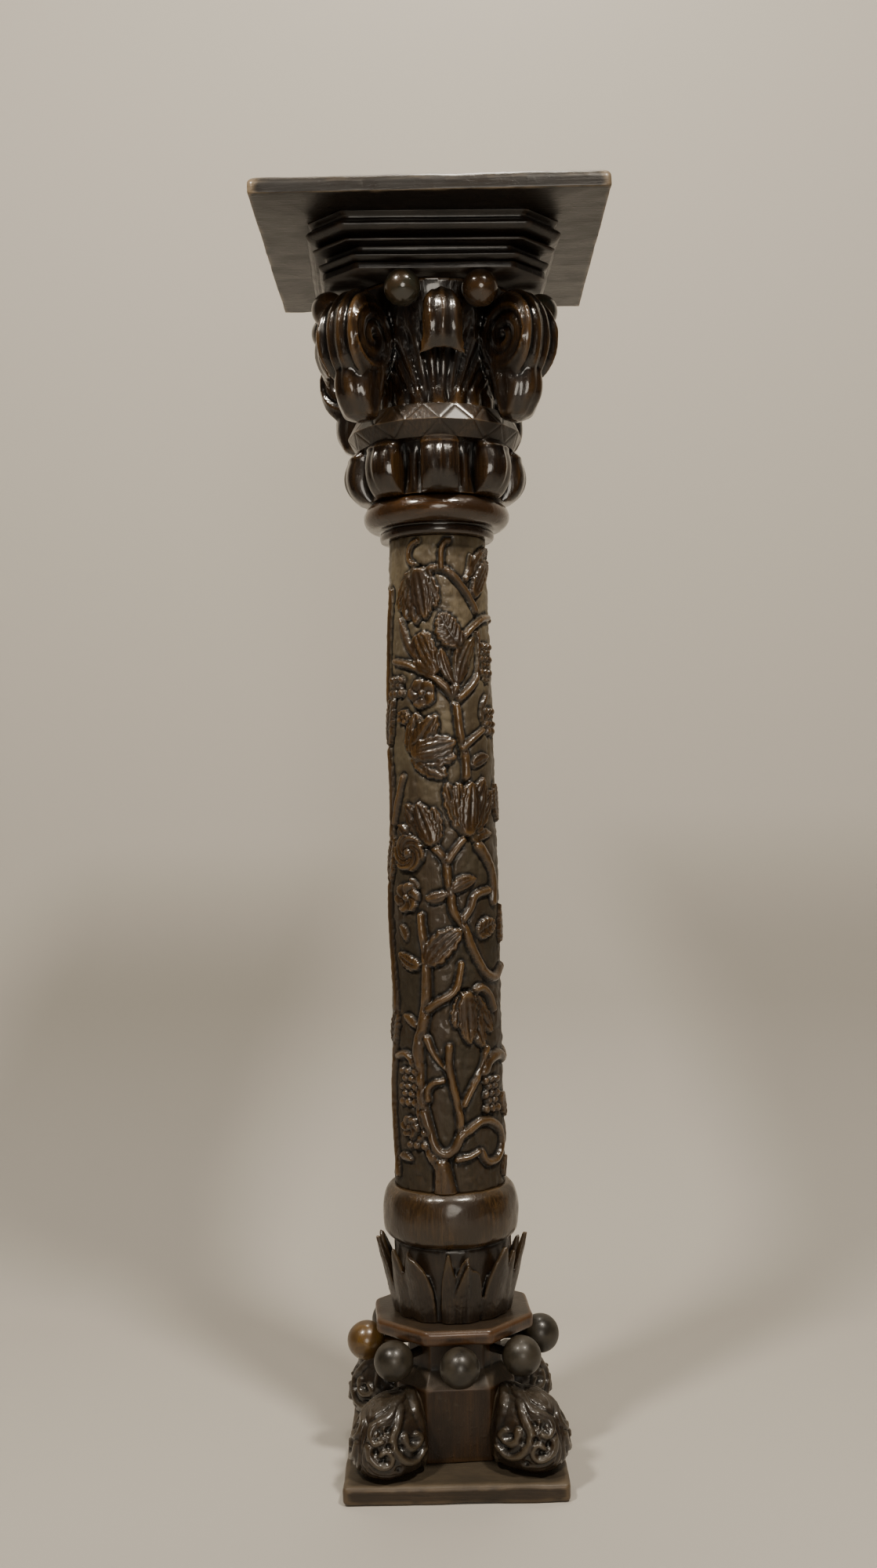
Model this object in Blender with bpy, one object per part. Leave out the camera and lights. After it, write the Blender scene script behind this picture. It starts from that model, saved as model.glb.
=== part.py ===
# Carved pedestal column of dark stained oak: a square board on a scrolled capital,
# a round shaft carved with a vine, and an octagonal base with balls and scroll feet.
# Metres, +Z up, the front looks towards -Y, and the floor is at zero.

import math

import bmesh
import bpy
from mathutils import Vector
from mathutils.geometry import delaunay_2d_cdt

for old in list(bpy.data.objects):
    bpy.data.objects.remove(old, do_unlink=True)

# Joints between pieces
JOINT_GAP = 0.0003

# Plinth and base block
PLINTH_WIDTH = 0.208
PLINTH_HEIGHT = 0.0175
PLINTH_ARRIS = 0.003
BLOCK_WIDTH = 0.112
BLOCK_FACE_WIDTH = 0.0608
BLOCK_HEIGHT = 0.068
BLOCK_SPLAY = 0.012
BLOCK_SPLAY_HEIGHT = 0.0152
BLOCK_NECK_HEIGHT = 0.0313
CAP_PLATE_WIDTH = 0.150
CAP_PLATE_HEIGHT = 0.0142
CAP_PLATE_ARRIS = 0.003
BASE_TURN = math.radians(3.5)

# Scroll feet
FOOT_REACH = 0.131
FOOT_WIDTH = 0.065
FOOT_CLEARANCE = 0.0113

# Balls and their pegs
BASE_BALL_RADIUS = 0.0185
BASE_PEG_LENGTH = 0.0225
CAPITAL_BALL_RADIUS = 0.017
CAPITAL_BALL_SPACING = 0.072
CAPITAL_BALL_DEPTH = 0.102
PEG_RADIUS = 0.004

# Leaf collar with its neck and cushion
COLLAR_HEIGHT = 0.1218
COLLAR_LEAVES = 16
COLLAR_TURN = math.radians(6.5)
COLLAR_FOOT_RADIUS = 0.058
COLLAR_TIP_RADIUS = 0.0765
COLLAR_NECK_RADIUS = 0.0567
COLLAR_NOTCH_DEPTH = 0.002
CUSHION_RADIUS = 0.0664
CUSHION_HEIGHT = 0.051

# Shaft and its carving
SHAFT_HEIGHT = 0.6246
SHAFT_FOOT_RADIUS = 0.053
SHAFT_TOP_RADIUS = 0.0465
SHAFT_TAPER_POWER = 3
STEM_WIDTH = 0.0085
STEM_RELIEF = 0.0045
LEAF_RELIEF = 0.0048
LEAF_WIDTH = 0.024
PETAL_WIDTH = 0.021
SHAFT_WELD = 0.0004
CARVING_STEP = 0.038
CARVING_ROWS = 8

# Neck ring
RING_RADIUS = 0.0718
RING_HEIGHT = 0.036

# Capital
CUP_HEIGHT = 0.0506
CUP_FOOT_RADIUS = 0.069
CUP_RADIUS = 0.0872
CUP_GAP_RADIUS = 0.067
CUP_LOBES = 8
BAND_HEIGHT = 0.032
BAND_RADIUS = 0.086
BAND_EDGE_RADIUS = 0.0775
BAND_SIDES = 16
BELL_HEIGHT = 0.1155
BELL_WAIST_RADIUS = 0.068
BELL_LIP_RADIUS = 0.084
CAPITAL_TURN = math.radians(3.5)
FACE_CARVING_TURN = math.radians(5)
VOLUTE_REACH = 0.1044
VOLUTE_EYE_DROP = 0.0568
VOLUTE_RADIUS = 0.0295
VOLUTE_WIDTH = 0.0434
VOLUTE_FLARE = math.radians(11)
VOLUTE_SIDES = 10
TONGUE_WIDTH = 0.043
TONGUE_REACH = 0.115
TONGUE_THICKNESS = 0.014

# Abacus and top board
ABACUS_WIDTH = 0.237
ABACUS_CUT = 0.031
ABACUS_HEIGHT = 0.0492
ABACUS_STEP = 0.018
ABACUS_TURN = math.radians(2)
BOARD_WIDTH = 0.322
BOARD_THICKNESS = 0.0217
BOARD_EDGE_DEPTH = 0.0185
BOARD_SQUARE_EDGE = 0.0085
BOARD_FILLET = 0.0026

# Turned pieces
ROUND_SIDES = 24
BALL_SIDES = 9
BALL_ROWS = 5
BALL_POLE_SHARE = 0.12

# Heights of the joints, from the floor up
block_foot = PLINTH_HEIGHT + JOINT_GAP
block_shoulder = block_foot + BLOCK_HEIGHT
block_neck = block_shoulder + BLOCK_SPLAY_HEIGHT
block_top = block_neck + BLOCK_NECK_HEIGHT
cap_plate_foot = block_top + JOINT_GAP
cap_plate_top = cap_plate_foot + CAP_PLATE_HEIGHT
collar_foot = cap_plate_top + JOINT_GAP
collar_top = collar_foot + COLLAR_HEIGHT
shaft_foot = collar_top + JOINT_GAP
shaft_top = shaft_foot + SHAFT_HEIGHT
ring_foot = shaft_top + JOINT_GAP
ring_top = ring_foot + RING_HEIGHT
capital_foot = ring_top + JOINT_GAP
band_foot = capital_foot + CUP_HEIGHT
bell_foot = band_foot + BAND_HEIGHT
capital_top = bell_foot + BELL_HEIGHT
abacus_foot = capital_top + JOINT_GAP
abacus_top = abacus_foot + ABACUS_HEIGHT
board_foot = abacus_top + JOINT_GAP

# Reaches from the axis to the faces of the block and of its neck
block_cut = (BLOCK_WIDTH - BLOCK_FACE_WIDTH) / 2
block_diagonal_reach = (BLOCK_WIDTH - block_cut) / math.sqrt(2)
neck_reach = BLOCK_WIDTH / 2 - BLOCK_SPLAY
neck_diagonal_reach = block_diagonal_reach - BLOCK_SPLAY

base_ball_circle = neck_reach + BASE_PEG_LENGTH + BASE_BALL_RADIUS
ball_beyond_plate = min(max(base_ball_circle - CAP_PLATE_WIDTH / 2, 0), BASE_BALL_RADIUS)
base_ball_rise = math.sqrt(BASE_BALL_RADIUS ** 2 - ball_beyond_plate ** 2)
base_ball_height = cap_plate_foot - JOINT_GAP - base_ball_rise
foot_top = base_ball_height - BASE_BALL_RADIUS - FOOT_CLEARANCE
capital_ball_height = capital_top - CAPITAL_BALL_RADIUS


def stained_oak(name, colour, roughness):
    material = bpy.data.materials.new(name)
    material.use_nodes = True
    shader = material.node_tree.nodes["Principled BSDF"]
    shader.inputs["Base Color"].default_value = (*colour, 1)
    shader.inputs["Roughness"].default_value = roughness
    shader.inputs["Metallic"].default_value = 0
    return material


def add_piece(name, mesh, colour, roughness, smooth_below=35):
    bmesh.ops.recalc_face_normals(mesh, faces=mesh.faces)
    data = bpy.data.meshes.new(name)
    mesh.to_mesh(data)
    mesh.free()
    data.shade_smooth()
    data.set_sharp_from_angle(angle=math.radians(smooth_below))
    data.materials.append(stained_oak(name + "_finish", colour, roughness))
    piece = bpy.data.objects.new(name, data)
    bpy.context.collection.objects.link(piece)
    return piece


def skin(rings):
    """A closed body through rings of equally many points, capped at both ends."""
    mesh = bmesh.new()
    rows = [[mesh.verts.new(point) for point in ring] for ring in rings]
    for low, high in zip(rows, rows[1:]):
        for i in range(len(low)):
            j = (i + 1) % len(low)
            mesh.faces.new((low[i], low[j], high[j], high[i]))
    mesh.faces.new(reversed(rows[0]))
    mesh.faces.new(rows[-1])
    return mesh


def polar(angle, radius, height):
    """A point at an angle from the front, counter-clockwise from above."""
    return Vector((radius * math.sin(angle), -radius * math.cos(angle), height))


def turned_ring(radius, height, sides=ROUND_SIDES):
    return [polar(math.tau * i / sides, radius, height) for i in range(sides)]


def cut_square_ring(half_width, cut, height, turn):
    """A square with its corners cut off, seen from above."""
    near = half_width - cut
    corners = []
    for side in range(4):
        angle = math.atan2(near, half_width)
        reach = math.hypot(near, half_width)
        corners.append(polar(side * math.pi / 2 - angle + turn, reach, height))
        corners.append(polar(side * math.pi / 2 + angle + turn, reach, height))
    return corners


def octagon_ring(half_width, height, turn):
    cut = half_width * (2 - math.sqrt(2))
    return cut_square_ring(half_width, cut, height, turn)


def square_ring(half_width, height):
    return [polar(math.pi / 4 + side * math.pi / 2, half_width * math.sqrt(2), height)
            for side in range(4)]


# Plinth: a square board with softened arrises
def make_plinth():
    half = PLINTH_WIDTH / 2
    inner = half - PLINTH_ARRIS
    rings = [square_ring(inner, 0),
             square_ring(half, PLINTH_ARRIS),
             square_ring(half, PLINTH_HEIGHT - PLINTH_ARRIS),
             square_ring(inner, PLINTH_HEIGHT)]
    return add_piece("plinth", skin(rings), (0.05, 0.04, 0.03), 0.5)


# Base block: a square block with its corners cut off, splayed in to a narrower neck
def make_base_block():
    rings = []
    for inset, height in ((0, block_foot), (0, block_shoulder), (BLOCK_SPLAY, block_neck),
                          (BLOCK_SPLAY, block_top)):
        cut = block_cut - inset * (2 - math.sqrt(2))
        rings.append(cut_square_ring(BLOCK_WIDTH / 2 - inset, cut, height, BASE_TURN))
    return add_piece("base_block", skin(rings), (0.045, 0.028, 0.018), 0.4)


def make_cap_plate():
    half = CAP_PLATE_WIDTH / 2
    inner = half - CAP_PLATE_ARRIS
    shoulder = cap_plate_top - CAP_PLATE_ARRIS
    rings = [octagon_ring(half - CAP_PLATE_ARRIS / 2, cap_plate_foot, BASE_TURN),
             octagon_ring(half, cap_plate_foot + CAP_PLATE_ARRIS / 2, BASE_TURN),
             octagon_ring(half, shoulder, BASE_TURN),
             octagon_ring(inner, cap_plate_top, BASE_TURN)]
    return add_piece("cap_plate", skin(rings), (0.06, 0.035, 0.022), 0.35)


# Scroll feet: egg-shaped brackets, narrow at the top, on the cut corners of the block
def make_scroll_foot(name, angle):
    inner = block_diagonal_reach + JOINT_GAP
    depth = FOOT_REACH - inner
    tall = foot_top - block_foot
    outward = polar(angle, 1, 0)
    along = polar(angle + math.pi / 2, 1, 0)
    # Half of the plan, as shares of the reach and of the half width, from the back to the front
    plan = ((0, 0.62), (0.22, 0.97), (0.58, 1), (0.86, 0.72), (0.99, 0.3))
    outline = [(reach, -side) for reach, side in plan] + [(reach, side) for reach, side in reversed(plan)]
    rings = []
    # Height, reach and width of each level, as shares of the whole
    levels = ((0, 0.74, 0.55), (0.09, 0.9, 0.86), (0.27, 1, 1), (0.55, 0.97, 0.93), (0.82, 0.83, 0.68),
              (1, 0.6, 0.24))
    for rise, reach_share, width_share in levels:
        height = Vector((0, 0, block_foot + tall * rise))
        rings.append([outward * (inner + depth * reach_share * reach)
                      + along * (FOOT_WIDTH / 2 * width_share * side) + height for reach, side in outline])
    return add_piece(name, skin(rings), (0.055, 0.045, 0.035), 0.35)


# Balls: turned spheres, each with a peg on its inner side that meets the core
def make_ball(name, centre, radius, core_distance, colour, roughness):
    outward = Vector((centre.x, centre.y, 0)).normalized()
    along = Vector((-outward.y, outward.x, 0))
    up = Vector((0, 0, 1))
    peg_end = core_distance + JOINT_GAP - Vector((centre.x, centre.y, 0)).length
    peg_meets = -math.sqrt(radius ** 2 - PEG_RADIUS ** 2)
    profile = [(peg_end, PEG_RADIUS), (peg_meets, PEG_RADIUS)]
    for step in range(1, BALL_ROWS):
        turn = math.pi * step / BALL_ROWS
        profile.append((-radius * math.cos(turn), radius * math.sin(turn)))
    profile.append((radius * math.cos(math.asin(BALL_POLE_SHARE)), radius * BALL_POLE_SHARE))
    rings = []
    for reach, size in profile:
        ring = []
        for side in range(BALL_SIDES):
            turn = math.tau * side / BALL_SIDES
            ring.append(centre + outward * reach + (along * math.cos(turn) + up * math.sin(turn)) * size)
        rings.append(ring)
    return add_piece(name, skin(rings), colour, roughness, 60)


# Leaf collar: broad pointed leaves flaring from a turned neck, narrow ones between them,
# and a cushion above
def make_leaf_collar():
    cushion_foot = collar_top - CUSHION_HEIGHT
    leaf_tall = cushion_foot - collar_foot
    columns = 2 * COLLAR_LEAVES
    foot = COLLAR_FOOT_RADIUS
    neck = COLLAR_NECK_RADIUS
    flare = COLLAR_TIP_RADIUS - foot
    notch = COLLAR_NOTCH_DEPTH
    # Each row gives radius and height at a broad leaf, at a narrow leaf and in the notch between
    rows = [
        ((foot, 0), (foot - notch, 0), (foot - 2 * notch, 0)),
        ((foot + 0.3 * flare, 0.34), (foot + 0.1 * flare, 0.32), (foot, 0.32)),
        ((foot + 0.66 * flare, 0.62), (foot + 0.3 * flare, 0.56), (foot + 0.25 * flare, 0.54)),
        ((foot + flare, 1.02), (foot + 0.55 * flare, 0.9), (foot + 0.4 * flare, 0.66)),
        ((foot + 0.3 * flare, 0.78), (foot + 0.15 * flare, 0.72), (foot + 0.05 * flare, 0.68)),
        ((neck, 0.74), (neck, 0.7), (neck, 0.69)),
        ((neck, 0.9), (neck, 0.9), (neck, 0.9)),
    ]
    rings = []
    for broad, narrow, between in rows:
        ring = []
        for column in range(columns):
            radius, share = (narrow, between, broad, between)[column % 4]
            angle = math.tau * column / columns + COLLAR_TURN
            ring.append(polar(angle, radius, collar_foot + share * leaf_tall))
        rings.append(ring)
    swell = CUSHION_RADIUS - neck
    for reach, share in ((0.2, 0), (0.8, 0.13), (1, 0.4), (0.9, 0.68), (0.6, 0.88), (0.05, 1)):
        height = cushion_foot + share * CUSHION_HEIGHT
        rings.append([polar(math.tau * i / columns + COLLAR_TURN, neck + reach * swell, height)
                      for i in range(columns)])
    return add_piece("leaf_collar", skin(rings), (0.07, 0.045, 0.025), 0.4, 30)


# Shaft carving, laid out flat: angles in degrees from the front, heights as shares of the shaft
STEMS = [
    [(-4, 0.0), (-7, 0.045), (-20, 0.09), (-28, 0.19), (-20, 0.28), (-20, 0.34), (-26, 0.42), (-28, 0.48)],
    [(-3, 0.02), (6, 0.072), (14, 0.123), (8, 0.163), (3, 0.222)],
    [(-1, 0.182), (-20, 0.236)],
    [(14, 0.131), (26, 0.163), (43, 0.212)],
    [(10, 0.072), (19, 0.093), (44, 0.108), (61, 0.09), (66, 0.035)],
    [(-28, 0.148), (-17, 0.16), (-11, 0.176), (-3, 0.177)],
    [(43, 0.172), (50, 0.198), (68, 0.203), (84, 0.188)],
    [(84, 0.298), (68, 0.308), (47, 0.324), (32, 0.356), (23, 0.394), (9, 0.445), (3, 0.501)],
    [(3, 0.501), (-10, 0.523), (-14, 0.535)],
    [(3, 0.496), (13, 0.52), (25, 0.545)],
    [(18, 0.408), (30, 0.442), (50, 0.455)],
    [(33, 0.538), (48, 0.499), (62, 0.439), (80, 0.337)],
    [(29, 0.62), (28, 0.664), (16, 0.724), (13, 0.761)],
    [(13, 0.761), (-4, 0.783), (-18, 0.793), (-48, 0.812)],
    [(13, 0.761), (20, 0.82), (33, 0.857), (54, 0.873)],
    [(14, 0.756), (35, 0.769), (45, 0.8), (40, 0.849)],
    [(-16, 0.941), (9, 0.945), (29, 0.913), (33, 0.875)],
    [(30, 0.922), (34, 0.941), (46, 0.978)],
    [(7, 0.946), (4, 0.96), (12, 0.985)],
    [(-25, 0.951), (-31, 0.97), (-23, 0.985)],
    [(-42, 0.874), (-37, 0.85), (-22, 0.807)],
    [(29, 0.678), (52, 0.704)],
    [(-40, 0.72), (-53, 0.646), (-43, 0.573)],
    [(-66, 0.02), (-74, 0.14), (-64, 0.28), (-75, 0.43), (-66, 0.58), (-75, 0.74), (-66, 0.92)],
]
# Foot and tip of each leaf, and its width as a share of the widest
LEAVES = [
    ((-16, 0.351), (17, 0.394), 0.92),
    ((36, 0.381), (70, 0.402), 0.67),
    ((22, 0.831), (-2, 0.87), 0.92),
    ((-4, 0.79), (-19, 0.852), 1),
    ((-2, 0.765), (-31, 0.752), 1),
    ((9, 0.456), (34, 0.479), 0.58),
    ((5, 0.456), (-14, 0.446), 0.58),
    ((50, 0.705), (57, 0.755), 0.58),
    ((24, 0.696), (31, 0.747), 0.58),
    ((-45, 0.083), (-48, 0.12), 0.67),
    ((56, 0.118), (56, 0.172), 0.83),
    ((-48, 0.19), (-46, 0.245), 0.75),
    ((58, 0.775), (58, 0.83), 0.75),
    ((-70, 0.22), (-58, 0.27), 0.75),
    ((-72, 0.5), (-60, 0.55), 0.83),
    ((-72, 0.68), (-62, 0.76), 0.83),
    ((82, 0.56), (72, 0.62), 0.92),
    ((84, 0.86), (72, 0.92), 0.92),
]
# Foot and tip of each flower, the spread of its petals in degrees and how many it has
FLOWERS = [
    ((-10, 0.945), (-24, 0.86), 70, 4),
    ((-29, 0.668), (18, 0.676), 100, 5),
    ((27, 0.54), (29, 0.635), 60, 4),
    ((-12, 0.525), (-36, 0.59), 70, 4),
    ((-14, 0.475), (-44, 0.505), 90, 4),
    ((44, 0.297), (16, 0.24), 70, 4),
]

# The back repeats the longer stems and the leaves, mirrored, and leaves the flowers out
BACK_MIDDLE = 172
BACK_STEM_POINTS = 4
SEAM_ANGLE = -84


def smooth_route(points, step):
    """Points along a smooth curve through the route, about a step apart."""
    route = []
    last = len(points) - 1
    for i in range(last):
        before = points[max(i - 1, 0)]
        start = points[i]
        end = points[i + 1]
        after = points[min(i + 2, last)]
        pieces = max(1, round((end - start).length / step))
        for k in range(pieces):
            t = k / pieces
            route.append(0.5 * (2 * start + (end - before) * t
                                + (2 * before - 5 * start + 4 * end - after) * t ** 2
                                + (3 * start - before - 3 * end + after) * t ** 3))
    route.append(points[-1])
    return route


def laid_flat(point, middle, mirror):
    """Arc length and height of a carving point, with the arc taken at the shaft's foot."""
    angle = middle + mirror * point[0]
    return Vector((math.radians(angle) * SHAFT_FOOT_RADIUS, point[1] * SHAFT_HEIGHT))


def carving_strokes():
    """Every stem, leaf and petal as a ridge line with half widths and its height."""
    strokes = []
    for middle, mirror, with_flowers in ((0, 1, True), (BACK_MIDDLE, -1, False)):
        for stem in STEMS:
            if not with_flowers and len(stem) < BACK_STEM_POINTS:
                continue
            route = smooth_route([laid_flat(p, middle, mirror) for p in stem], CARVING_STEP)
            last = len(route) - 1
            widths = [STEM_WIDTH / 2 * (1.15 - 0.5 * i / last) for i in range(last + 1)]
            strokes.append((route, widths, STEM_RELIEF))
        for foot, tip, width_share in LEAVES if with_flowers else LEAVES[::2]:
            start = laid_flat(foot, middle, mirror)
            end = laid_flat(tip, middle, mirror)
            strokes.append(leaf_stroke(start, end, LEAF_WIDTH / 2 * width_share))
        if with_flowers:
            for foot, tip, spread, petals in FLOWERS:
                start = laid_flat(foot, middle, mirror)
                reach = laid_flat(tip, middle, mirror) - start
                for petal in range(petals):
                    turn = math.radians(spread * (petal / (petals - 1) - 0.5))
                    arm = Vector((reach.x * math.cos(turn) - reach.y * math.sin(turn),
                                  reach.x * math.sin(turn) + reach.y * math.cos(turn)))
                    strokes.append(leaf_stroke(start, start + arm, PETAL_WIDTH / 2))
    return strokes


def leaf_stroke(start, end, half_width):
    """A leaf or petal as its foot, middle and tip, with the half width at each."""
    shares = (0, 0.5, 1)
    route = [start.lerp(end, share) for share in shares]
    widths = [half_width * (0.25 + 0.75 * math.sin(math.pi * (0.1 + 0.9 * share))) for share in shares]
    return (route, widths, LEAF_RELIEF)


def stroke_outline(route, widths):
    """Left side, tip, right side and foot of a stroke, as one closed loop."""
    left = []
    right = []
    for i, point in enumerate(route):
        ahead = route[min(i + 1, len(route) - 1)] - route[max(i - 1, 0)]
        across = Vector((-ahead.y, ahead.x)).normalized() * widths[i]
        left.append(point + across)
        right.append(point - across)
    return left + right[::-1]


def relief_at(point, strokes):
    """Height of the highest ridge over a point of the flat layout."""
    highest = 0
    for route, widths, relief in strokes:
        for i in range(len(route) - 1):
            start = route[i]
            run = route[i + 1] - start
            share = min(max((point - start).dot(run) / run.length_squared, 0), 1)
            width = widths[i] + (widths[i + 1] - widths[i]) * share
            off = (point - start - run * share).length / width
            if off < 1:
                highest = max(highest, relief * math.sqrt(1 - off ** 2))
    return highest


def shaft_radius(height):
    share = height / SHAFT_HEIGHT
    return SHAFT_FOOT_RADIUS + (SHAFT_TOP_RADIUS - SHAFT_FOOT_RADIUS) * share ** SHAFT_TAPER_POWER


# Shaft: the carving is meshed flat between its outlines and ridges, then rolled round
def make_shaft():
    strokes = carving_strokes()
    points = []
    edges = []
    left = math.radians(SEAM_ANGLE) * SHAFT_FOOT_RADIUS
    around = math.tau * SHAFT_FOOT_RADIUS

    def add_loop(loop, closed):
        first = len(points)
        for point in loop:
            height = min(max(point.y, 0), SHAFT_HEIGHT)
            points.append(Vector((point.x, height)))
        for i in range(len(loop) - 1):
            edges.append((first + i, first + i + 1))
        if closed:
            edges.append((first + len(loop) - 1, first))

    for route, widths, relief in strokes:
        add_loop(stroke_outline(route, widths), True)
        add_loop(route, False)
    for row in range(CARVING_ROWS + 1):
        height = SHAFT_HEIGHT * row / CARVING_ROWS
        for column in range(ROUND_SIDES + 1):
            spot = Vector((left + around * column / ROUND_SIDES, height))
            on_edge = row in (0, CARVING_ROWS) or column in (0, ROUND_SIDES)
            if on_edge or relief_at(spot, strokes) == 0:
                points.append(spot)
    flat_points, flat_edges, flat_faces, *_ = delaunay_2d_cdt(points, edges, [], 0, 1e-5)

    mesh = bmesh.new()
    verts = []
    for point in flat_points:
        radius = shaft_radius(point.y) + relief_at(point, strokes)
        verts.append(mesh.verts.new(polar(point.x / SHAFT_FOOT_RADIUS, radius, shaft_foot + point.y)))
    for face in flat_faces:
        mesh.faces.new([verts[i] for i in face])
    bmesh.ops.remove_doubles(mesh, verts=mesh.verts, dist=SHAFT_WELD)
    rims = [edge for edge in mesh.edges if edge.is_boundary]
    bmesh.ops.holes_fill(mesh, edges=rims, sides=0)
    return add_piece("shaft", mesh, (0.06, 0.036, 0.022), 0.4, 30)


def make_neck_ring():
    core = SHAFT_TOP_RADIUS
    half = RING_HEIGHT / 2
    rings = [turned_ring(core, ring_foot)]
    steps = 5
    for step in range(steps + 1):
        turn = math.pi * (step / steps - 0.5)
        radius = RING_RADIUS - half * (1 - math.cos(turn))
        rings.append(turned_ring(radius, ring_foot + half * (1 + math.sin(turn))))
    rings.append(turned_ring(core, ring_top))
    return add_piece("neck_ring", skin(rings), (0.09, 0.045, 0.022), 0.22, 50)


# Capital core: gadrooned cup, faceted band and bell as one body of revolution with relief
def capital_core():
    columns = 4 * CUP_LOBES
    rings = []
    # Radius at the lobe's midrib as a share of the swell, and height as a share of the cup
    for swell, share in ((0, 0), (0.62, 0.18), (1, 0.5), (0.86, 0.8), (0.45, 1)):
        ring = []
        for column in range(columns):
            reach = CUP_FOOT_RADIUS + swell * (CUP_RADIUS - CUP_FOOT_RADIUS)
            if column % 4 == 2 and share > 0:
                reach = CUP_GAP_RADIUS
            elif column % 2 == 1:
                reach -= 0.12 * (reach - CUP_GAP_RADIUS)
            angle = math.tau * column / columns + CAPITAL_TURN
            ring.append(polar(angle, reach, capital_foot + share * CUP_HEIGHT))
        rings.append(ring)
    # Band: corners of the edges and of the ridge alternate, so that its faces are triangles
    flat = math.cos(math.pi / BAND_SIDES)
    levels = ((BAND_EDGE_RADIUS, 0.02, 1), (BAND_RADIUS, 0.46, 0), (BAND_EDGE_RADIUS, 1, 1))
    for radius, share, odd in levels:
        ring = []
        for column in range(2 * BAND_SIDES):
            reach = radius if column % 2 == odd else radius * flat
            angle = math.pi * column / BAND_SIDES + CAPITAL_TURN
            ring.append(polar(angle, reach, band_foot + share * BAND_HEIGHT))
        rings.append(ring)
    # Bell: in to the waist and out to the lip
    for reach, share in ((0, 0.14), (0.15, 0.45), (0.6, 0.72), (1, 0.92), (1, 1)):
        radius = BELL_WAIST_RADIUS + reach * (BELL_LIP_RADIUS - BELL_WAIST_RADIUS)
        rings.append([polar(math.tau * i / columns + CAPITAL_TURN, radius, bell_foot + share * BELL_HEIGHT)
                      for i in range(columns)])
    return skin(rings)


# Volute: a ribbed roll across the diagonal, wider outside, with a stepped spiral on each side
def volute_body(angle):
    outward = polar(angle, 1, 0)
    along = polar(angle + math.pi / 2, 1, 0)
    eye_height = capital_top - VOLUTE_EYE_DROP
    # Place across the roll, then its size outwards and upwards as shares of the side's radius
    half_profile = [(0.95, 0.18, 0.18), (0.78, 0.38, 0.38), (0.8, 0.74, 0.74), (1, 1, 1),
                    (0.72, 1.18, 1.42), (0.4, 1.1, 1.5)]
    profile = [(-k, out, up) for k, out, up in half_profile]
    profile += [(0, 1.24, 1.7)]
    profile += [(k, out, up) for k, out, up in reversed(half_profile)]
    rings = []
    for across, out, up in profile:
        ring = []
        for side in range(VOLUTE_SIDES):
            turn = math.tau * side / VOLUTE_SIDES
            reach = VOLUTE_REACH + VOLUTE_RADIUS * out * math.cos(turn)
            half_width = VOLUTE_WIDTH / 2 + (reach - VOLUTE_REACH) * math.tan(VOLUTE_FLARE)
            height = eye_height + VOLUTE_RADIUS * up * math.sin(turn)
            ring.append(outward * reach + along * across * half_width + Vector((0, 0, height)))
        rings.append(ring)
    return skin(rings)


# Tail: the fat curled leaf under each volute, from the bell down to the band
def volute_tail(angle):
    outward = polar(angle, 1, 0)
    along = polar(angle + math.pi / 2, 1, 0)
    low = bell_foot - 0.56 * BAND_HEIGHT
    high = capital_top - VOLUTE_EYE_DROP
    rings = []
    # Height share, then reach, half depth and half width as shares of the volute's own
    levels = ((0, 1, 0.22, 0.2), (0.1, 1.02, 0.5, 0.4), (0.4, 1.03, 0.82, 0.45), (1, 0.93, 1, 0.37))
    for share, reach_share, depth_share, width_share in levels:
        reach = VOLUTE_REACH * reach_share
        depth = VOLUTE_RADIUS * depth_share
        width = VOLUTE_WIDTH * width_share
        ring = []
        for side in range(8):
            turn = math.tau * side / 8
            place = outward * (reach + depth * math.cos(turn)) + along * width * math.sin(turn)
            ring.append(place + Vector((0, 0, low + share * (high - low))))
        rings.append(ring)
    return skin(rings)


# Tongue: the drooping leaf tip in the middle of each face
def tongue_body(angle):
    outward = polar(angle, 1, 0)
    along = polar(angle + math.pi / 2, 1, 0)
    root = BELL_WAIST_RADIUS
    hang = TONGUE_REACH - root
    rings = []
    # Shares of the reach, of the bell's height, of the tongue's width and of its thickness
    levels = ((0, 0.6, 0.7, 1), (0.4, 0.78, 0.55, 0.86), (0.7, 0.8, 0.5, 0.71), (0.9, 0.7, 1, 0.71),
              (0.97, 0.57, 0.85, 0.79), (0.88, 0.42, 0.9, 0.64), (0.7, 0.36, 0.8, 0.43))
    for out, share, width, thick_share in levels:
        thick = TONGUE_THICKNESS * thick_share
        centre = outward * (root + out * hang) + Vector((0, 0, bell_foot + share * BELL_HEIGHT))
        lean = math.radians(90) * out
        normal = outward * math.sin(lean) + Vector((0, 0, math.cos(lean)))
        half = TONGUE_WIDTH / 2 * width
        rings.append([centre - along * half, centre - normal * thick, centre + along * half,
                      centre + normal * thick * 0.6])
    return skin(rings)


def make_capital():
    capital = add_piece("capital", capital_core(), (0.03, 0.015, 0.009), 0.2, 30)
    carvings = bpy.data.collections.new("capital_carvings")
    bpy.context.scene.collection.children.link(carvings)
    bodies = []
    for corner in range(4):
        face = corner * math.pi / 2
        diagonal = face + math.pi / 4 + CAPITAL_TURN
        bodies.append(("volute", volute_body(diagonal)))
        bodies.append(("volute_tail", volute_tail(diagonal)))
        bodies.append(("tongue", tongue_body(face + FACE_CARVING_TURN)))
    for name, mesh in bodies:
        body = add_piece(name, mesh, (0.03, 0.015, 0.009), 0.2)
        bpy.context.collection.objects.unlink(body)
        carvings.objects.link(body)
        body.hide_render = True
        body.display_type = "WIRE"
    union = capital.modifiers.new("carvings", "BOOLEAN")
    union.operation = "UNION"
    union.solver = "EXACT"
    union.operand_type = "COLLECTION"
    union.collection = carvings
    return capital


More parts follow.
